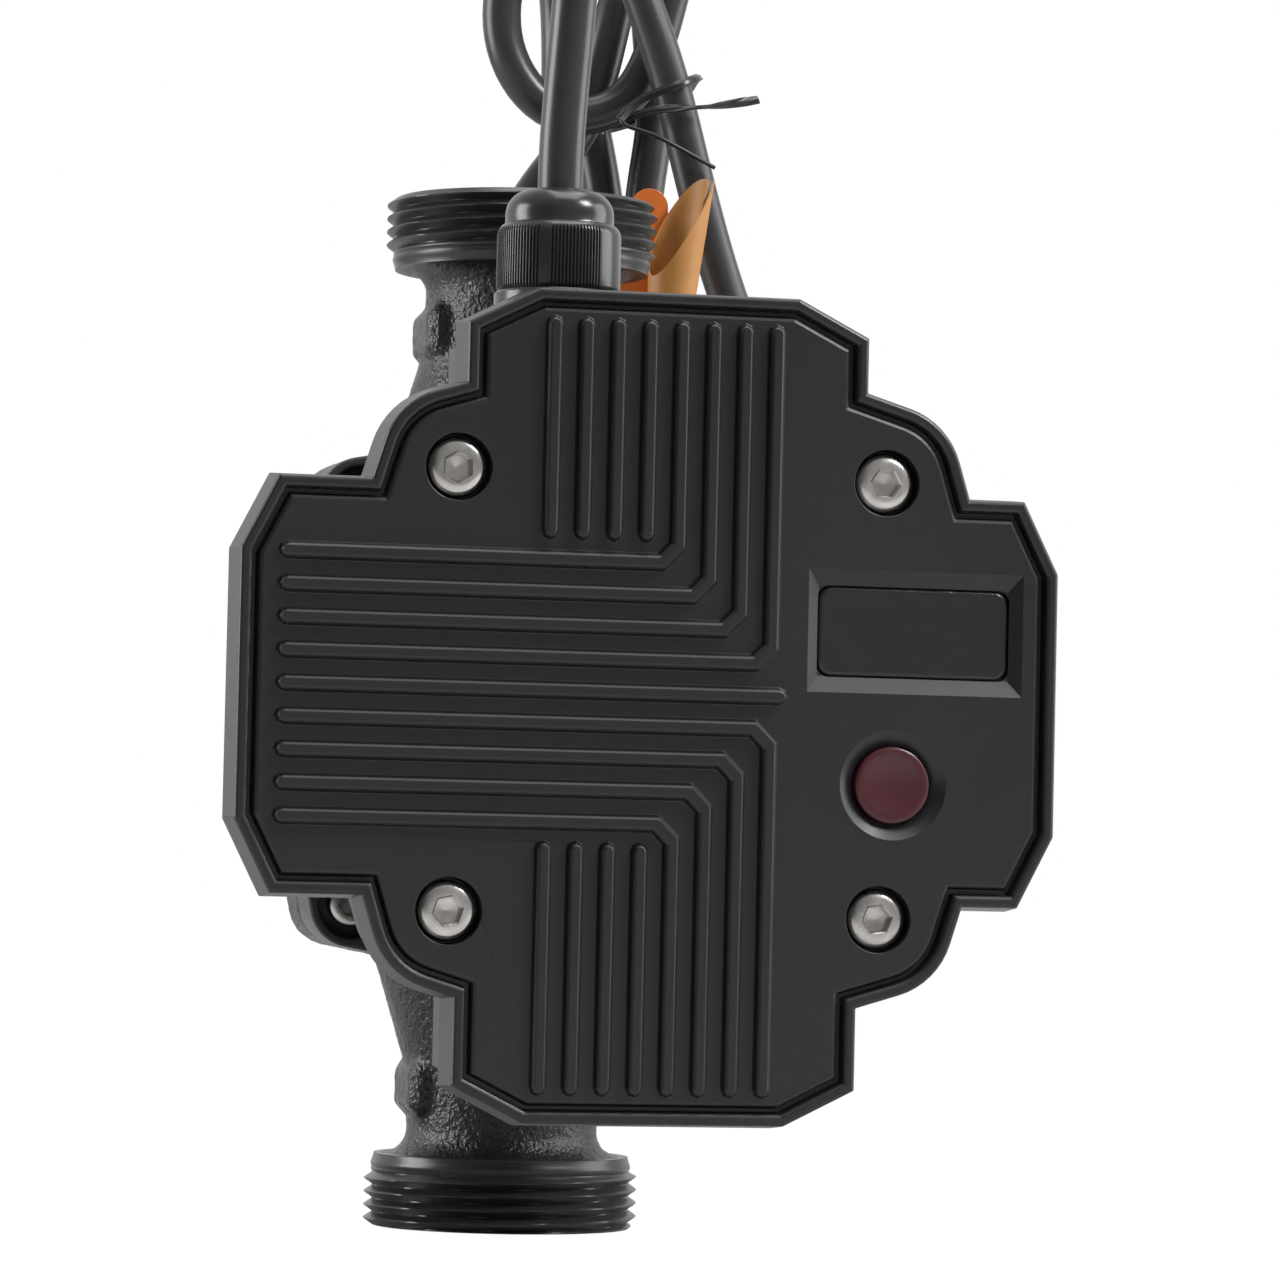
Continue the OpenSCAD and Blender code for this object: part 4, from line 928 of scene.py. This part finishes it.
@dataclass
class Studio:
    """Camera, lamps, white surroundings and floor."""

    place: Triple = (-0.19587, -0.94762, 0.06288)
    yaw: float = 13.005
    pitch: float = 2.390
    roll: float = 1.293
    lens: float = 154.68
    sensor: float = 36.0
    clip: Pair = (0.05, 20.0)
    floor_size: float = 6.0
    floor_drop: float = 0.0004
    floor_light: float = 1.04
    floor_white: float = 0.95
    front_way: Triple = (0.33, -0.85, 0.42)
    front_glow: Pair = (0.05, 0.37)
    front_range: Pair = (0.55, 0.97)
    # Strength of the glow on one side, and where along the axis it starts and is full
    glows: tuple[tuple[str, float, float, float], ...] = (
        ("Y", 0.9, 0.0, 0.6), ("X", 0.5, 0.45, 0.95), ("Z", 0.5, 0.3, 0.9))
    boxes: tuple[SoftBox, ...] = (
        SoftBox("left box", (-1.2, 0.15, 0.30), (0, -0.08, 0.10), 0.6, 1.0, 16.0),
        SoftBox("front box", (0.75, -0.62, 0.92), (0, -0.1, 0.14), 0.35, 0.35, 11.0),
        SoftBox("right box", (1.05, -0.15, 0.3), (0, -0.08, 0.09), 0.6, 1.0, 8.0),
        SoftBox("top box", (0.15, -0.1, 1.2), (0, -0.08, 0.1), 1.0, 0.7, 9.0),
    )

    def camera(self) -> None:
        """Sets the camera where the photograph was taken."""
        yaw, pitch, roll = (math.radians(a) for a in (self.yaw, self.pitch, self.roll))
        ahead = Vector((math.sin(yaw) * math.cos(pitch), math.cos(yaw) * math.cos(pitch),
                        math.sin(pitch)))
        flat = Vector((math.cos(yaw), -math.sin(yaw), 0.0))
        high = flat.cross(ahead)
        right = flat * math.cos(roll) + high * math.sin(roll)
        up = high * math.cos(roll) - flat * math.sin(roll)
        data = bpy.data.cameras.new("camera")
        data.lens, data.sensor_width = self.lens, self.sensor
        data.clip_start, data.clip_end = self.clip
        camera = put("camera", data)
        turn = Matrix((right, up, -ahead)).transposed().to_4x4()
        camera.matrix_world = Matrix.Translation(self.place) @ turn
        bpy.context.scene.camera = camera

    def surroundings(self) -> None:
        """Makes the world: white to the eye and through glass, soft on the object."""
        world = bpy.data.worlds.new("studio")
        bpy.context.scene.world = world
        sheet = Sheet.blank(world)
        way = sheet.add("ShaderNodeTexCoord").outputs["Generated"]
        parts = sheet.parts(way)
        sides = [sheet.spread(parts[axis], 0.0, glow, start, end)
                 for axis, glow, start, end in self.glows]
        front = sheet.spread(sheet.reach(way, self.front_way), *self.front_glow,
                             *self.front_range)
        glow = sheet.math("MAXIMUM", *sides, front)
        soft = sheet.made("ShaderNodeBackground", {"Color": WHITE, "Strength": glow})
        white = sheet.made("ShaderNodeBackground", {"Color": WHITE, "Strength": 1.0})
        path = sheet.add("ShaderNodeLightPath").outputs
        through = sheet.math("MAXIMUM", path["Is Camera Ray"], path["Is Transmission Ray"])
        mixed = sheet.made("ShaderNodeMixShader", {0: through, 1: soft, 2: white})
        sheet.add("ShaderNodeOutputWorld", {"Surface": mixed})

    def floor(self) -> None:
        """Lays the pale floor, white to the camera but for the object's shadow."""
        half = self.floor_size / 2
        mesh = bpy.data.meshes.new("floor")
        corners = [(x * half, y * half, -self.floor_drop)
                   for x, y in ((-1, -1), (1, -1), (1, 1), (-1, 1))]
        mesh.from_pydata(corners, [], [(0, 1, 2, 3)])
        material = bpy.data.materials.new("floor")
        sheet = Sheet.blank(material)
        matt = sheet.made("ShaderNodeBsdfDiffuse", {"Color": (0.5, 0.5, 0.5, 1.0)})
        white = sheet.made("ShaderNodeEmission", {"Color": WHITE, "Strength": self.floor_light})
        eye = sheet.add("ShaderNodeLightPath").outputs["Is Camera Ray"]
        seen = sheet.math("MULTIPLY", eye, self.floor_white)
        mixed = sheet.made("ShaderNodeMixShader", {0: seen, 1: matt, 2: white})
        sheet.add("ShaderNodeOutputMaterial", {"Surface": mixed})
        mesh.materials.append(material)
        put("floor", mesh)

    def build(self) -> None:
        """Sets up everything round the object."""
        self.camera()
        self.surroundings()
        self.floor()
        for box in self.boxes:
            box.build()
        bpy.context.scene.view_settings.view_transform = "Standard"


# The lead


@dataclass
class Lead:
    """The cable from the gland to the plug, and the wire tie round its folds."""

    diameter: float = 7.2
    plug_top: Triple = (21.0, 78.0, 134.0)
    point_gap: float = 2.0
    ease: int = 6
    around: int = 20
    tie_width: float = 1.75
    tie_thickness: float = 0.75
    twisted_share: float = 0.12
    string_radius: float = 0.4
    run: tuple[Triple, ...] = (
        (-14, -101, 190), (-12, -100, 212), (-7, -96, 236), (4, -86, 257), (19, -68, 270),
        (32, -44, 276), (39, -16, 277), (39, 12, 275), (35, 35, 269), (27, 52, 256))
    hank: tuple[Triple, ...] = (
        (22, 61, 232), (22, 61, 216), (25, 61, 204), (28, 61, 190), (30, 61, 175), (33, 61, 159),
        (35, 60, 144), (39, 57, 130), (46, 52, 119), (55, 45, 115), (61, 38, 121), (60, 34, 134),
        (56, 33, 146), (50, 34, 159), (45, 35, 172), (40, 35, 188), (35, 35, 206), (30, 35, 220),
        (24, 36, 234), (15, 38, 240), (7, 41, 234), (4, 44, 222), (6, 44, 211), (13, 44, 203),
        (21, 44, 202), (29, 44, 206), (34, 44, 217), (37, 43, 230), (42, 42, 243), (49, 43, 254),
        (56, 50, 259), (56, 59, 258), (49, 63, 251), (40, 60, 244), (33, 56, 236), (28, 53, 225),
        (25, 52, 212), (21, 52, 200), (13, 52, 189), (6, 52, 176), (0, 52, 161), (-4, 52, 145),
        (-3, 52, 130), (4, 52, 118), (15, 52, 113), (25, 52, 117), (31, 52, 129), (32, 52, 144),
        (32, 52, 160), (33, 52, 176), (34, 52, 190), (36, 53, 204), (36, 57, 217), (36, 62, 230),
        (38, 69, 242), (40, 78, 251), (37, 87, 256), (30, 91, 253), (24, 88, 245), (22, 81, 236),
        (22, 76, 225), (22, 74, 210), (22, 74, 192), (22, 75, 172), (21, 77, 154))
    tie: tuple[Triple, ...] = (
        (50, 30, 205), (40, 29, 203), (30, 30, 202), (22, 35, 199), (15.5, 40, 198),
        (13.8, 48.5, 197.5), (14.8, 55, 198.5), (18, 63, 200), (26, 67, 202), (36, 64, 205),
        (41, 54, 208), (41, 43, 210), (39.3, 33, 209), (35, 29, 207), (28, 32, 204),
        (24, 31, 200))
    string: tuple[Triple, ...] = (
        (25, 31.4, 201.5), (24.4, 30.8, 199.3), (31, 29, 197), (42, 30, 192))

    def route(self) -> np.ndarray:
        """The whole centreline from the gland to the plug."""
        start, end = np.array(GLAND_EXIT), np.array(self.plug_top)
        rise = np.array((0.0, 0.0, self.diameter))
        turn = np.array(self.hank[0], float)
        run = smooth_path([start + rise, *self.run], 4)
        hank = smooth_path([turn - rise, *self.hank[1:], end + rise], 4)
        corners = np.concatenate([[start], run, [turn + rise], [turn], hank, [end]])
        return eased(corners, self.point_gap, self.ease)

    def cable(self, bench: Bench, path: np.ndarray) -> bpy.types.Object:
        """Makes the lead as one tube with a UV map that runs along it."""
        piece = new_piece("lead", swept(path, circle(self.diameter / 2, self.around)), 60.0)
        length = distances(path)
        layer = piece.data.uv_layers.new(name="Along")
        for polygon in piece.data.polygons:
            indices = [piece.data.loops[k].vertex_index for k in polygon.loop_indices]
            steps = [i % self.around for i in indices]
            wraps = max(steps) - min(steps) > 1
            for k, i, step in zip(polygon.loop_indices, indices, steps):
                share = (step + self.around if wraps and step == 0 else step) / self.around
                layer.data[k].uv = (length[i // self.around] * MM, share)
        return bench.hand_over(piece, "cable_sheath", "power_cable", "cable_hank")

    def wire_tie(self, bench: Bench) -> bpy.types.Object:
        """Makes the flat plastic-clad wire, with a twist in its free ends, and the string."""
        path = eased(smooth_path(self.tie, 8), 1.0, 4)
        half = np.array([(1, 0), (0.9, 0.5), (0.4, 0.55), (0.2, 1), (-0.2, 1), (-0.4, 0.55),
                         (-0.9, 0.5)]) * (self.tie_width / 2, self.tie_thickness / 2)
        share = np.linspace(0, 1, len(path))
        twist = np.pi * np.clip(1 - share / self.twisted_share, 0, 1)
        string = eased(smooth_path(self.string, 8), 1.0, 2)
        skin = join(swept(path, np.concatenate([half, -half]), twist),
                    swept(string, circle(self.string_radius, 10)))
        return bench.hand_over(new_piece("wire_tie", skin, 50.0), "tie_plastic", "cable_tie")

    def build(self, bench: Bench, extras: Sequence[bpy.types.Object]) -> None:
        path = self.route()
        cable = self.cable(bench, path)
        tie = self.wire_tie(bench)


@dataclass
class Tag:
    """The rolled ochre film and the orange tab behind it."""

    place: Triple = (35.0, 26.0, 150.0)
    height: float = 41.0
    diameter: float = 12.4
    film: float = 0.3
    lap: float = 1.1
    shortest: float = 6.0
    slope_x: float = 1.5
    slope_y: float = 0.7
    taper: float = 0.14
    columns: int = 72
    rows: int = 15
    tab_edge: float = 0.12

    def roll(self, bench: Bench) -> bpy.types.Object:
        """Rolls the film, cut aslant, with one edge lapped over the other."""
        middle = self.diameter / 2
        peak = middle * (math.hypot(self.slope_x, self.slope_y) - self.slope_x)
        columns = []
        for k, a in enumerate(np.radians(np.linspace(-35, 350, self.columns))):
            share = k / (self.columns - 1)
            r = middle - self.lap * (1 - share) ** 1.5
            x, y = r * math.cos(a), r * math.sin(a)
            top = self.height - peak - (middle - x) * self.slope_x + y * self.slope_y
            top = max(self.shortest, min(self.height, top))
            columns.append([(x, y, top * j / (self.rows - 1)) for j in range(self.rows)])
        outer = np.array(columns)
        inner = outer.copy()
        radius = np.linalg.norm(outer[..., :2], axis=2)
        inner[..., :2] *= ((radius - self.film) / radius)[..., None]
        strip = np.concatenate([outer, inner[:, ::-1]], axis=1)
        narrow = 1 - self.taper * (self.height - strip[..., 2]) / self.diameter
        strip[..., 0] = (strip[..., 0] + middle) * narrow - middle
        strip[..., 1] *= narrow
        piece = new_piece("rolled_tag", loft(strip + np.array(self.place)), 40.0)
        return bench.hand_over(piece, "tag_film", "cable_tag")

    def build(self, bench: Bench) -> list[bpy.types.Object]:
        """Makes the rolled film and the tab, a wide body with a round head."""
        film = self.roll(bench)
        tab = bench.rounded("tag_tab", "orange_tab", "tab_film", self.tab_edge, angle=26.0)
        return [film, tab]


@dataclass
class Plug:
    """The moulded plug at the lead's end."""

    edge: float = 0.7

    def build(self, bench: Bench) -> bpy.types.Object:
        """Rounds the plug's moulded edges."""
        return bench.rounded("mains_plug", "moulded_plug", "plug_plastic", self.edge, 3)


# The pump's body


@dataclass
class CastBody:
    """The sand-cast pump housing with its two threaded ports."""

    voxel: float = 0.84
    # The rough skin: waves to a millimetre, and their height
    skin: tuple[Pair, ...] = ((0.55, 0.05), (1.3, 0.16))
    trim: float = 12.2
    mating_depth: float = 25.5
    mating_margin: float = 0.8
    bore: float = 14.0
    outlet_bore: float = 13.5
    bore_margin: float = 0.9
    bore_start: float = 40.0
    chamber_radius: float = 34.8
    chamber_front: float = -26.0
    chamber_back: float = 22.0
    crest: float = 23.9
    thread_depth: float = 1.5
    pitch: float = 2.309
    ridge_slope: float = 1.1
    root_flat: float = 0.04
    fade_start: float = 0.6
    fade_length: float = 1.1
    lead_in: float = 1.2
    thread_end: float = 9.6
    run_out: float = 0.9
    shoulder: float = 22.3
    shoulder_start: float = 11.0
    lip: float = 0.45
    length: float = 12.5
    chamfer: float = 1.3
    bore_chamfer: float = 0.6
    level_gap: float = 0.19
    around: int = 120

    def _machined(self, spot: Vector) -> bool:
        """Whether a place lies on a bore, in the chamber or on the mating face."""
        bore = (math.hypot(spot.x, spot.y) < self.bore + self.bore_margin
                and abs(spot.z - AXIS_Z) > self.bore_start)
        chamber = (math.hypot(spot.x, spot.z - AXIS_Z) < self.chamber_radius
                   and self.chamber_front < spot.y < self.chamber_back)
        return bore or chamber or spot.y < self.mating_margin - self.mating_depth

    def casting(self, bench: Bench) -> bpy.types.Object:
        """Remeshes the housing so that its edges are soft and its skin rough."""
        piece = bench.copy_of("pump_housing", "cast_housing", 0.01)
        modify(piece, "REMESH", mode="VOXEL", voxel_size=self.voxel * MM)
        modify(piece, "SMOOTH", factor=0.5, iterations=1)
        apply_all(piece)
        with edited(piece.data) as build:
            for cut, sense in ((self.trim, 1), (PORT_GAP - self.trim, -1)):
                found = bmesh.ops.bisect_plane(
                    build, geom=[*build.verts, *build.edges, *build.faces], dist=1e-7,
                    plane_co=(0, 0, cut * MM), plane_no=(0, 0, -sense), clear_outer=True)
                rim = [e for e in found["geom_cut"] if isinstance(e, bmesh.types.BMEdge)]
                bmesh.ops.bridge_loops(build, edges=rim)
            build.normal_update()
            for vertex in build.verts:
                spot = vertex.co / MM
                if self._machined(spot):
                    spot.y = max(spot.y, -self.mating_depth)
                    vertex.co = spot * MM
                    continue
                rough = sum(noise.noise(spot * waves) * height for waves, height in self.skin)
                vertex.co += vertex.normal * rough * MM
        piece.data.shade_smooth()
        return bench.hand_over(piece, "cast_black", "pump_housing")

    def thread(self, flip: bool) -> Skin:
        """One port's ring with its real thread.

        Args:
            flip: True for the upper port.

        Returns:
            Points and faces.
        """
        turn = angles(self.around)
        root = self.crest - self.thread_depth
        levels = np.concatenate([
            np.arange(0.0, self.thread_end + self.run_out, self.level_gap),
            [10.7, 10.9, 11.4, 12.2, self.length]])
        rows = []
        for z in levels:
            phase = (z / self.pitch - turn / FULL_TURN) % 1.0
            ridge = np.clip(self.ridge_slope * np.abs(2 * phase - 1) - self.root_flat, 0, 1)
            fade = np.clip((self.thread_end + self.fade_start - z) / self.fade_length, 0, 1)
            r = root + self.thread_depth * ridge * fade
            r = np.minimum(r, self.crest - self.chamfer + z * self.lead_in)
            if z > self.thread_end:
                share = min(1.0, (z - self.thread_end) / self.run_out)
                r = np.maximum(r, root * (1 - share) + (self.shoulder + self.lip) * share)
            if z > self.shoulder_start:
                r = self.shoulder + self.lip * max(0.0, 1 - (z - self.shoulder_start))
            rows.append((r, z))
        bore = self.outlet_bore if flip else self.bore
        rows += [(bore, self.length), (bore, self.bore_chamfer), (bore + self.bore_chamfer, 0.0)]
        points, faces = loft(level_rings(rows, turn), closed=True)
        if flip:
            points = points * np.array((1, -1, -1)) + np.array((0, 0, PORT_GAP))
        return points, faces

    def build(self, bench: Bench) -> None:
        """Makes the casting and both threads."""
        self.casting(bench)
        for name, flip in (("inlet_thread", False), ("outlet_thread", True)):
            bench.hand_over(new_piece(name, self.thread(flip), 28.0), "thread_black")


@dataclass(frozen=True)
class Screw:
    """A headed screw made along +Z from its seat, with a recess in its head."""

    name: str
    shank: float
    length: float
    head: float
    head_height: float
    recess: float
    recess_depth: float
    dome: float
    drive: Drive = Drive.HEX
    pitch: float = 0.8
    thread_share: float = 0.35
    tip_share: float = 0.7
    dome_share: float = 0.42
    edge: float = 0.15
    recess_edge: float = 0.25
    around: int = 48

    def _recess_radius(self, turn: np.ndarray) -> np.ndarray:
        """Distance from the axis to the recess's wall at each angle."""
        if self.drive is Drive.HEX:
            part = (turn + np.pi / 6) % (np.pi / 3) - np.pi / 6
            return self.recess / 2 / np.cos(part)
        part = np.abs((turn + np.pi / 4) % (np.pi / 2) - np.pi / 4)
        return np.minimum(self.recess / 2, self.recess / 9 / np.maximum(np.sin(part), 0.22))

    def pattern(self) -> bpy.types.Object:
        """Makes one screw."""
        turn = angles(self.around)
        crest, outer = self.shank / 2, self.head / 2
        root = crest - self.pitch * self.thread_share
        rows: list[Row] = [(root * self.tip_share, -self.length)]
        for k in range(int((self.length - 1) / self.pitch)):
            z = -self.length + 0.4 + k * self.pitch
            rows += [(root, z), (crest, z + self.pitch / 2)]
        wall = self.head_height - self.dome
        rows += [(crest, -0.6), (crest, 0.0), (outer - self.edge, 0.0), (outer, self.edge),
                 (outer, wall)]
        for share in (k / 6 for k in range(1, 7)):
            inward = 1 - self.dome_share * (1 - math.cos(share * math.pi / 2))
            rows.append((outer * inward, wall + self.dome * math.sin(share * math.pi / 2)))
        rim, top = self._recess_radius(turn), self.head_height
        floor = top - self.recess_depth
        rows += [(rim + self.recess_edge, top), (rim, top - self.recess_edge), (rim, floor),
                 (self.recess * 0.42, floor), (0.04, floor - self.recess * 0.1)]
        return new_piece(self.name, loft(level_rings(rows, turn)), 30.0)


@dataclass(frozen=True)
class ScrewSet:
    """Four alike screws at the corners of a rectangle round the motor's axis."""

    name: str
    node: str
    screw: Screw
    span_x: float
    span_z: float
    depth: float
    seed: int

    def build(self, bench: Bench, tree: bpy.types.NodeTree) -> None:
        """Sets the screws, each at a turn of its own."""
        piece = grown(self.name, tree, {
            "Screw": self.screw.pattern(), "Span X": self.span_x * MM,
            "Span Z": self.span_z * MM, "Depth": self.depth * MM, "Seed": self.seed,
            "Finish": bench.materials["screw_steel"]})
        bench.hand_over(piece, "screw_steel", self.node)


@dataclass
class Motor:
    """The motor's housing, its four screws and the windings inside."""

    edge: float = 0.45
    lug_screws: ScrewSet = ScrewSet(
        "lug_screws", "motor_screws",
        Screw("lug_screw", 4, 14, 7, 4, 3.1, 2.0, 0.35, Drive.HEX, 0.7),
        SCREW_SPAN, SCREW_SPAN, 31.5, 3)
    coil_in: float = 20.1
    coil_out: float = 31.6
    tooth_half: float = 4.5
    stator_half: float = 15.4
    stator_mid: float = 51.55
    teeth: int = 6
    layers: int = 3
    wire: float = 1.05
    wire_fill: float = 0.95
    first_layer: float = 0.55
    corner: float = 0.8

    def windings(self, bench: Bench) -> None:
        """Winds the stator's coils turn by turn."""
        outwards = np.array((1.0, 0.0, 0.0))
        loops = []
        for layer in range(self.layers):
            grow = self.wire * (layer + self.first_layer)
            outline = rounded_rectangle(self.stator_half + grow, self.tooth_half + grow,
                                        self.corner + grow * 0.6, 5)
            points = np.insert(outline, 0, 0.0, axis=1)
            ahead = np.roll(points, -1, 0) - np.roll(points, 1, 0)
            ahead /= np.linalg.norm(ahead, axis=1)[:, None]
            side = np.cross(ahead, outwards)
            radius = self.wire / 2 * self.wire_fill
            ring = [radius * (math.cos(a) * side + math.sin(a) * outwards) for a in angles(6)]
            loops.append(loft(np.stack([points + offset for offset in ring], axis=1),
                              closed=True))
        count = int((self.coil_out - self.coil_in - self.wire) / self.wire) + 1
        piece = grown("windings", winding_tree(), {
            "Turn": new_piece("turn", join(*loops), 60.0), "Teeth": self.teeth, "Turns": count,
            "First": (self.coil_in + self.wire * 0.6) * MM,
            "Last": (self.coil_out - self.wire * 0.6) * MM,
            "Depth": self.stator_mid * MM, "Finish": bench.materials["copper_wire"]})
        piece.data.shade_smooth()
        bench.hand_over(piece, "copper_wire", "stator_coils")

    def build(self, bench: Bench, tree: bpy.types.NodeTree) -> None:
        """Makes the motor's pieces."""
        bench.rounded("motor_housing", "motor_shell", "motor_coat_painted_light", self.edge)
        self.lug_screws.build(bench, tree)
        self.windings(bench)


@dataclass
class ControlBox:
    """The box, its ribbed cover, the display's window, the button and the screws."""

    box_edge: float = 0.4
    cover_edge: float = 0.16
    cover_angle: float = 24.0
    sharp_half: Pair = (17.6, 9.8)
    dish_radius: float = 9.0
    screws: tuple[ScrewSet, ...] = (
        ScrewSet("corner_screws", "cover_screws",
                 Screw("cover_screw", 5, 14, 9.5, 2.8, 4.0, 2.0, 1.5),
                 SCREW_SPAN, SCREW_SPAN, 117.8, 8),
        ScrewSet("board_screws", "pcb_screws",
                 Screw("board_screw", 2.6, 6, 5, 2, 2.6, 0.9, 1.1, Drive.CROSS, 0.6),
                 88, 42, 108.6, 5),
    )
    button_x: float = 36.0
    button_z: float = 76.9
    button_radius: float = 6.0
    button_face: float = 120.9
    button_dish: float = 0.6
    collar: float = 1.3
    collar_depths: Pair = (116.9, 117.9)
    stem_end: float = 113.2
    window_round: float = 2.3
    window_face: float = 119.6

    def edge_share(self, spot: Vector) -> float:
        """How round an edge of the cover is: full on ribs and rim, none round the display."""
        beside = (abs(spot.x - WINDOW_CENTRE[0]) < self.sharp_half[0]
                  and abs(spot.z - WINDOW_CENTRE[1]) < self.sharp_half[1])
        reach = math.hypot(spot.x - self.button_x, spot.z - self.button_z)
        return 0.0 if beside or reach < self.dish_radius else 1.0

    def button(self, bench: Bench) -> None:
        """Makes the button: a dished cap with a rounded rim, its collar and its stem."""
        r, face, tip = self.button_radius, self.button_face, 0.02
        back, front = self.collar_depths
        flat = r - 0.8
        profile = [(tip, self.stem_end), (r / 3, self.stem_end), (r / 3, back),
                   (r + self.collar, back), (r + self.collar, front), (r, front),
                   (r, face - 0.5), (r - 0.12, face - 0.2), (r - 0.4, face - 0.04), (flat, face)]
        for share in (k / 6 for k in range(1, 7)):
            profile.append((flat * (1 - share) + tip * share,
                            face - self.button_dish * (1 - (1 - share) ** 2)))
        points, faces = loft(level_rings(profile, angles(72)))
        turned = np.stack([points[:, 0] + self.button_x, -points[:, 2],
                           points[:, 1] + self.button_z], axis=1)
        piece = new_piece("red_button", (turned, faces), 30.0)
        bench.hand_over(piece, "button_maroon", "power_button", body=Body.BUTTON)

    def glass(self, bench: Bench) -> None:
        """Makes the window: a rounded pane over a wider tray, with an eased edge."""
        face = self.window_face
        rings = []
        for grow, depth in ((1.2, 117.2), (1.2, 118.15), (0.0, 118.15), (0.0, 119.2),
                            (-0.15, 119.45), (-0.5, face), (-0.8, face), (-1.6, face)):
            half_x, half_z = (size / 2 + grow for size in WINDOW_SIZE)
            outline = rounded_rectangle(half_x, half_z, self.window_round + grow, 7)
            rings.append([(WINDOW_CENTRE[0] + x, -depth, WINDOW_CENTRE[1] + z)
                          for x, z in outline])
        piece = new_piece("display_glass", loft(np.array(rings)), 40.0)
        bench.hand_over(piece, "window_film", "display_window")

    def build(self, bench: Bench, tree: bpy.types.NodeTree) -> None:
        """Makes the box's pieces."""
        bench.rounded("controller_back", "control_box", "box_coat", self.box_edge)
        cover = bench.copy_of("front_cover", "ribbed_cover", 0.0)
        soften(cover, self.cover_edge, 2, self.cover_angle, self.edge_share)
        bench.hand_over(cover, "cover_coat", "front_cover")
        for screws in self.screws:
            screws.build(bench, tree)
        self.button(bench)
        self.glass(bench)


@dataclass
class Gland:
    """The cable gland: its base, its fluted nut and its dome."""

    box_top: float = 149.2
    foot: float = 153.5
    base_radius: float = 10.1
    bottom: float = 140.7
    stub: float = 7.5
    stub_pitch: float = 1.5
    passage: float = 3.9
    collet: float = 6.25
    collet_bore: float = 4.8
    collet_height: float = 8.6
    nut_bore_height: float = 3.0
    nut_edge: float = 0.75
    shoulder_drop: float = 2.0
    shoulder_rise: float = 1.55
    nut_top: float = 164.4
    nut_radius: float = 9.8
    dome_radius: float = 8.6
    dome_corner: float = 4.1
    hole: float = 3.75
    flutes: int = 108
    flute_depth: float = 0.34
    # Where the nut has no flutes, in degrees from the front towards +X
    plain: tuple[Pair, ...] = ((-29.5, -18.5), (31, 80), (150.5, 161.5), (211, 260))

    def base(self, bench: Bench) -> None:
        """Makes the base: a round foot on the box, a threaded stub below and a collet above."""
        r, low, top = self.base_radius, self.box_top, self.foot + self.collet_height
        root, inner, seat = self.stub - 0.6, self.collet - 0.1, self.foot - 0.05
        rows = [(self.passage, self.bottom), (root, self.bottom)]
        for k in range(int((low - self.bottom - 0.4) / self.stub_pitch)):
            z = self.bottom + 0.3 + k * self.stub_pitch
            rows += [(root, z), (self.stub, z + self.stub_pitch / 2)]
        rows += [(self.stub, low), (r - 0.2, low), (r, low + 0.25), (r, self.foot - 0.45),
                 (r - 0.35, seat), (inner, seat), (inner, top), (self.collet_bore, top),
                 (self.collet_bore, low), (self.passage, low)]
        points, faces = loft(level_rings(rows, angles(96)), closed=True)
        place = np.array((*GLAND_EXIT[:2], 0.0))
        piece = new_piece("gland_base", (points + place, faces), 30.0)
        bench.hand_over(piece, "gland_nylon", "gland_body")

    def nut(self, bench: Bench) -> None:
        """Makes the nut with its fine flutes, its plain strips and its glossy dome."""
        turn = angles(self.flutes * 6)
        degrees = np.degrees(turn)
        wave = np.clip(np.cos(turn * self.flutes) * 0.8 + 0.5, 0, 1)
        for low, high in self.plain:
            middle, half = (low + high) / 2, (high - low) / 2
            away = np.abs((degrees - middle + 180) % 360 - 180)
            wave = np.where(away < half, 1.0, wave)
        full = self.nut_radius - self.flute_depth * (1 - wave)
        inner, foot, shoulder = self.collet + 0.15, self.foot, self.nut_top - self.shoulder_drop
        x, y, top = GLAND_EXIT
        above = foot + self.nut_bore_height
        rows = [(self.hole, above), (inner, above), (inner, foot),
                (self.nut_radius - 0.5, foot),
                (np.minimum(full, self.nut_radius - 0.1), foot + 0.4),
                (full, foot + 0.7), (full, shoulder)]
        rows += [(np.minimum(full, self.nut_radius - self.nut_edge * share ** 2),
                  shoulder + self.shoulder_rise * share) for share in (0.35, 0.7, 1.0)]
        rows += [(self.dome_radius + 0.12, self.nut_top - 0.3), (self.dome_radius, self.nut_top)]
        corner = self.dome_corner
        rows += [(self.dome_radius - corner + corner * math.cos(a),
                  top - corner + corner * math.sin(a)) for a in np.radians(np.linspace(0, 90, 11))]
        rows += [(self.hole + 0.25, top), (self.hole, top - 0.3)]
        points, faces = loft(level_rings(rows, turn), closed=True)
        placed = np.stack([x + points[:, 1], y - points[:, 0], points[:, 2]], axis=1)
        piece = new_piece("gland_cap", (placed, faces), 32.0)
        bench.hand_over(piece, "gland_nylon", "gland_nut")

    def build(self, bench: Bench) -> None:
        """Makes the gland's pieces."""
        self.base(bench)
        self.nut(bench)


def main() -> None:
    """Builds the dressed pump in order and reports each piece."""
    logging.basicConfig(level=logging.INFO, format="%(name)s: %(message)s")
    bench = Bench()
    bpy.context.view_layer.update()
    Studio().build()
    extras = [*Tag().build(bench), Plug().build(bench)]
    Lead().build(bench, extras)
    tree = corners_tree()
    CastBody().build(bench)
    Motor().build(bench, tree)
    ControlBox().build(bench, tree)
    Gland().build(bench)
    bench.dress_nodes()


if __name__ == "__main__":
    main()
